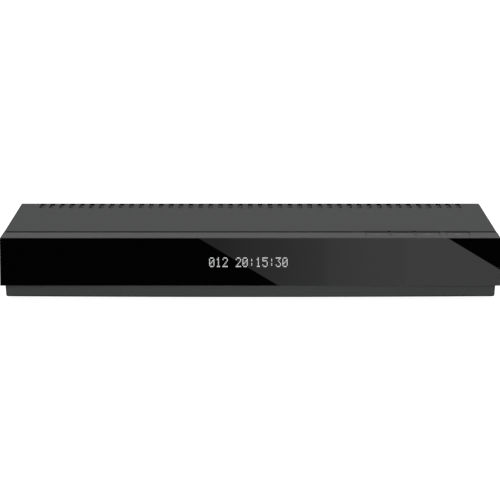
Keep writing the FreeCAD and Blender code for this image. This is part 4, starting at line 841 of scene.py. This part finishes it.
class RECEIVER_OT_contacts(ReceiverOperator):
    """Adds the contacts inside the data, video and television sockets"""

    bl_idname = "receiver.contacts"
    bl_label = "Socket contacts"

    film: length_setting("Film", "Thickness of a contact on a tongue", 0.08 * MM, 0.01 * MM, 0.5 * MM)
    data_pitch: length_setting(
        "Data pitch", "Between the four contacts of a data socket", 2.4 * MM, 1.1 * MM, 3 * MM)
    video_pitch: length_setting(
        "Video pitch", "Between the ten contacts of the video socket", 1 * MM, 0.5 * MM, 1.1 * MM)
    television_pitch: length_setting(
        "Television pitch", "Between the ten contacts of a row of the television socket", 3.4 * MM,
        1 * MM, 3.6 * MM)

    def make(self):
        mesh = bmesh.new()
        low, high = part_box("bus_tongues")
        underside = 2.55 * MM            # tongue's underside to the nearer end of the node's box
        for z in (low.z + underside, high.z - underside):
            self.add_flat(mesh, low, high, z, spaced(4, self.data_pitch),
                          half_width=0.5 * MM, from_root=2 * MM, from_tip=0.5 * MM)
        low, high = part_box("video_tongue")
        self.add_flat(mesh, low, high, (low.z + high.z) / 2, spaced(10, self.video_pitch),
                      half_width=0.2 * MM, from_root=3 * MM, from_tip=0.4 * MM)
        self.add_television(mesh)
        mesh_piece("socket_contacts", mesh, gold(), "case")

    def add_flat(self, mesh, low, high, z, places, half_width, from_root, from_tip):
        """A row of flat contacts under a tongue whose underside lies at z, in a node with these corners."""
        middle = (low.x + high.x) / 2
        for x in places:
            add_block(mesh, (middle + x - half_width, low.y + from_root, z - self.film),
                      (middle + x + half_width, high.y - from_tip, z))

    def add_television(self, mesh):
        """Two rows of upright contacts in the slots of the socket's block, half a pitch apart."""
        low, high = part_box("scart_socket")
        half_width, half_height, row_height = 0.25 * MM, 1.0 * MM, 2.6 * MM
        shift = 0.6 * MM                 # rows away from the cut corner
        back, tip = high.y - 9.0 * MM, high.y - 1.6 * MM
        for side in (-1, 1):
            middle = (low.x + high.x) / 2 + side * self.television_pitch / 4 - shift
            z = (low.z + high.z) / 2 + side * row_height
            for x in spaced(10, self.television_pitch):
                add_block(mesh, (middle + x - half_width, back, z - half_height),
                          (middle + x + half_width, tip, z + half_height))


class RECEIVER_OT_rocker_marks(ReceiverOperator):
    """Prints the line and the ring on the power rocker"""

    bl_idname = "receiver.rocker_marks"
    bl_label = "Rocker marks"

    spread: length_setting("Spread", "Rocker's middle to the middle of a mark", 4.2 * MM, 2 * MM, 6 * MM)
    stroke: length_setting("Stroke", "Width of a printed line", 0.45 * MM, 0.1 * MM, 1 * MM)
    film: length_setting("Film", "Thickness of the print", 0.01 * MM, 0.001 * MM, 0.1 * MM)

    def make(self):
        ink = grained("rocker_print", (0.7, 0.7, 0.68), 0.5, 0.3 * MM, 0.003 * MM)
        line, ring = [(0, -1.5), (0, 1.5)], arc(1.3, 0, 345, 23)
        mesh = bmesh.new()
        for side, points, closed in ((-1, line, False), (1, ring, True)):
            add_strip(mesh, in_metres(points), self.stroke, self.film, self.face(side), closed)
        mesh_piece("rocker_marks", mesh, ink, "power_switch")

    def face(self, side):
        """Where a mark lies on one half of the rocker's face, which rises towards its ends."""
        pivot = next(Vector(j["pos_m"]) for j in frame["joints"] if j["name"] == "power_switch_tilt")
        half_length, rise, half_thickness = 7.7 * MM, 1.0 * MM, 2.1 * MM
        play = 0.004 * MM                # keeps the print clear of the face
        lean = math.radians(9)           # the rocker's tilt at rest
        slope = math.atan2(rise, half_length)
        y = half_thickness + self.spread * math.tan(slope) + play
        rest = Matrix.Translation(pivot) @ Matrix.Rotation(lean, 4, "Z")
        half = Matrix.Translation((side * self.spread, y, 0)) @ Matrix.Rotation(side * slope, 4, "Z")
        return rest @ half @ Matrix.Rotation(math.radians(-90), 4, "X")


# ------------------------------------------------------------------ stage

# grey of the reflected band from left to right: place along it, and tone
REFLECTION_TONES = [(place, (tone,) * 3) for place, tone in (
    (0.0, 0.353), (0.21, 0.489), (0.36, 0.563), (0.54, 0.673), (0.585, 0.79), (0.64, 0.814),
    (0.84, 0.912), (0.96, 0.945), (0.985, 1.0))]


class RECEIVER_OT_stage(ReceiverOperator):
    """Sets the floor, the background, the lamps and the camera"""

    bl_idname = "receiver.stage"
    bl_label = "Stage"

    def make(self):
        stage = user_settings("stage")
        bpy.context.scene.view_settings.view_transform = "Standard"
        self.floor(stage)
        self.reflection_card(stage)
        self.room(stage)
        self.lamp("overhead_lamp", stage.overhead, size=1.4, place=(0, 0.2, 1.4))
        self.lamp("front_lamp", stage.front, size=1.2, place=(0, -2.3, 0.4))
        self.camera(stage)

    def floor(self, stage):
        """A pale floor that shows white to the camera and keeps the shadow."""
        size = 6.0
        finish = Finish("floor_white")
        tone = finish.blend(finish.noise(0.2), (0.4,) * 3, (0.42,) * 3)
        matt = finish.add("ShaderNodeBsdfDiffuse", sockets={"Color": tone})
        lift = finish.add("ShaderNodeEmission", sockets={"Color": WHITE, "Strength": stage.floor_glow})
        shown = finish.add("ShaderNodeAddShader", sockets={0: matt, 1: lift})
        finish.surface(finish.add("ShaderNodeMixShader", sockets={0: finish.seen_ray(), 1: matt, 2: shown}))
        return mesh_object("floor", level_rectangle(-size, size, -size, size, 0), finish.material)

    def reflection_card(self, stage):
        """A card just above the floor that only mirror-like faces see: a grey band between black flags."""
        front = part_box("front_window")[0].y
        finish = Finish("reflection_card")
        x, y = finish.axis("X"), finish.axis("Y") - front
        blur = 0.3 * MM
        left = (x - slanting(y, -0.245, -0.0314, 0.2535)).rise(-blur, blur)
        right = (x - slanting(y, -0.25, 0.1287, 0.162)).rise(blur, -blur)
        across = x / (1 - y / stage.distance)
        band_start, band_width, peak = -0.02, 0.11, 1.172
        place = (across - band_start) / band_width
        grey = finish.add("ShaderNodeValToRGB", {"stops": REFLECTION_TONES}, {0: place})
        flag, band = [
            finish.add("ShaderNodeEmission", sockets={"Color": grey, "Strength": strength})
            for strength in (0.0, peak)]
        finish.surface(finish.add("ShaderNodeMixShader", sockets={0: left * right, 1: flag, 2: band}))
        shape = level_rectangle(-0.45, 0.45, front - 0.6, front - 0.02, 0.8 * MM)
        card = mesh_object("reflection_card", shape, finish.material)
        card.visible_camera = False
        card.visible_diffuse = False
        card.visible_shadow = False
        card.visible_transmission = False
        return card

    def room(self, stage):
        """Even light from all round; the camera and mirror-like faces see white."""
        world = bpy.data.worlds.new("room")
        world.use_nodes = True
        bpy.context.scene.world = world
        nodes = Nodes(world.node_tree)
        light, white = [
            nodes.add("ShaderNodeBackground", sockets={"Color": WHITE, "Strength": strength})
            for strength in (stage.sky, 1.0)]
        shown = nodes.add("ShaderNodeMixShader", sockets={0: nodes.seen_ray(), 1: light, 2: white})
        nodes.add("ShaderNodeOutputWorld", sockets={"Surface": shown})

    def lamp(self, name, power, size, place):
        """A square soft lamp that faces the object."""
        data = bpy.data.lights.new(name, "AREA")
        data.size = size
        data.energy = power
        lamp = bpy.data.objects.new(name, data)
        lamp.location = place
        lamp.rotation_euler = (-Vector(place)).to_track_quat("-Z", "Y").to_euler()
        bpy.context.collection.objects.link(lamp)

    def camera(self, stage):
        """A camera in front of the object that looks a little down on it."""
        data = bpy.data.cameras.new("camera")
        data.lens = stage.lens
        data.sensor_width = 36
        camera = bpy.data.objects.new("camera", data)
        camera.location = (stage.aside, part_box("front_window")[0].y - stage.distance, stage.height)
        camera.rotation_euler = (math.radians(90) - stage.tilt, 0, 0)
        bpy.context.collection.objects.link(camera)
        bpy.context.scene.camera = camera


def slanting(y, at, start, slope):
    """x of a line for any y: it is at start where y is at, and leans by slope."""
    return (y - at) * slope + start


# ------------------------------------------------------------------ add-on

class RECEIVER_PT_panel(Panel):
    """Lists the receiver's settings and operators"""

    bl_idname = "RECEIVER_PT_panel"
    bl_label = "Receiver"
    bl_space_type = "VIEW_3D"
    bl_region_type = "UI"
    bl_category = "Receiver"

    def draw(self, context):
        for kind, group in GROUPS.items():
            box = self.layout.box()
            box.label(text=group.__doc__.rstrip("."))
            for name in group.__annotations__:
                box.prop(user_settings(kind), name)
        for operator in OPERATORS:
            self.layout.operator(operator.bl_idname)


GROUPS = {"case": ReceiverCase, "display": ReceiverDisplay, "stage": ReceiverStage}
OPERATORS = (
    RECEIVER_OT_case, RECEIVER_OT_front, RECEIVER_OT_window, RECEIVER_OT_display, RECEIVER_OT_key_marks,
    RECEIVER_OT_small_fittings, RECEIVER_OT_boards, RECEIVER_OT_sockets, RECEIVER_OT_aerial_threads,
    RECEIVER_OT_contacts, RECEIVER_OT_rocker_marks, RECEIVER_OT_stage,
)


def register():
    for group in GROUPS.values():
        bpy.utils.register_class(group)
    for kind, group in GROUPS.items():
        setattr(bpy.types.Scene, "receiver_" + kind, PointerProperty(type=group))
    for operator in OPERATORS:
        bpy.utils.register_class(operator)
    bpy.utils.register_class(RECEIVER_PT_panel)


def unregister():
    bpy.utils.unregister_class(RECEIVER_PT_panel)
    for operator in reversed(OPERATORS):
        bpy.utils.unregister_class(operator)
    for kind, group in reversed(list(GROUPS.items())):
        delattr(bpy.types.Scene, "receiver_" + kind)
        bpy.utils.unregister_class(group)


def main():
    register()
    for operator in OPERATORS:
        area, name = operator.bl_idname.split(".")
        getattr(getattr(bpy.ops, area), name)()


if __name__ == "__main__":
    main()
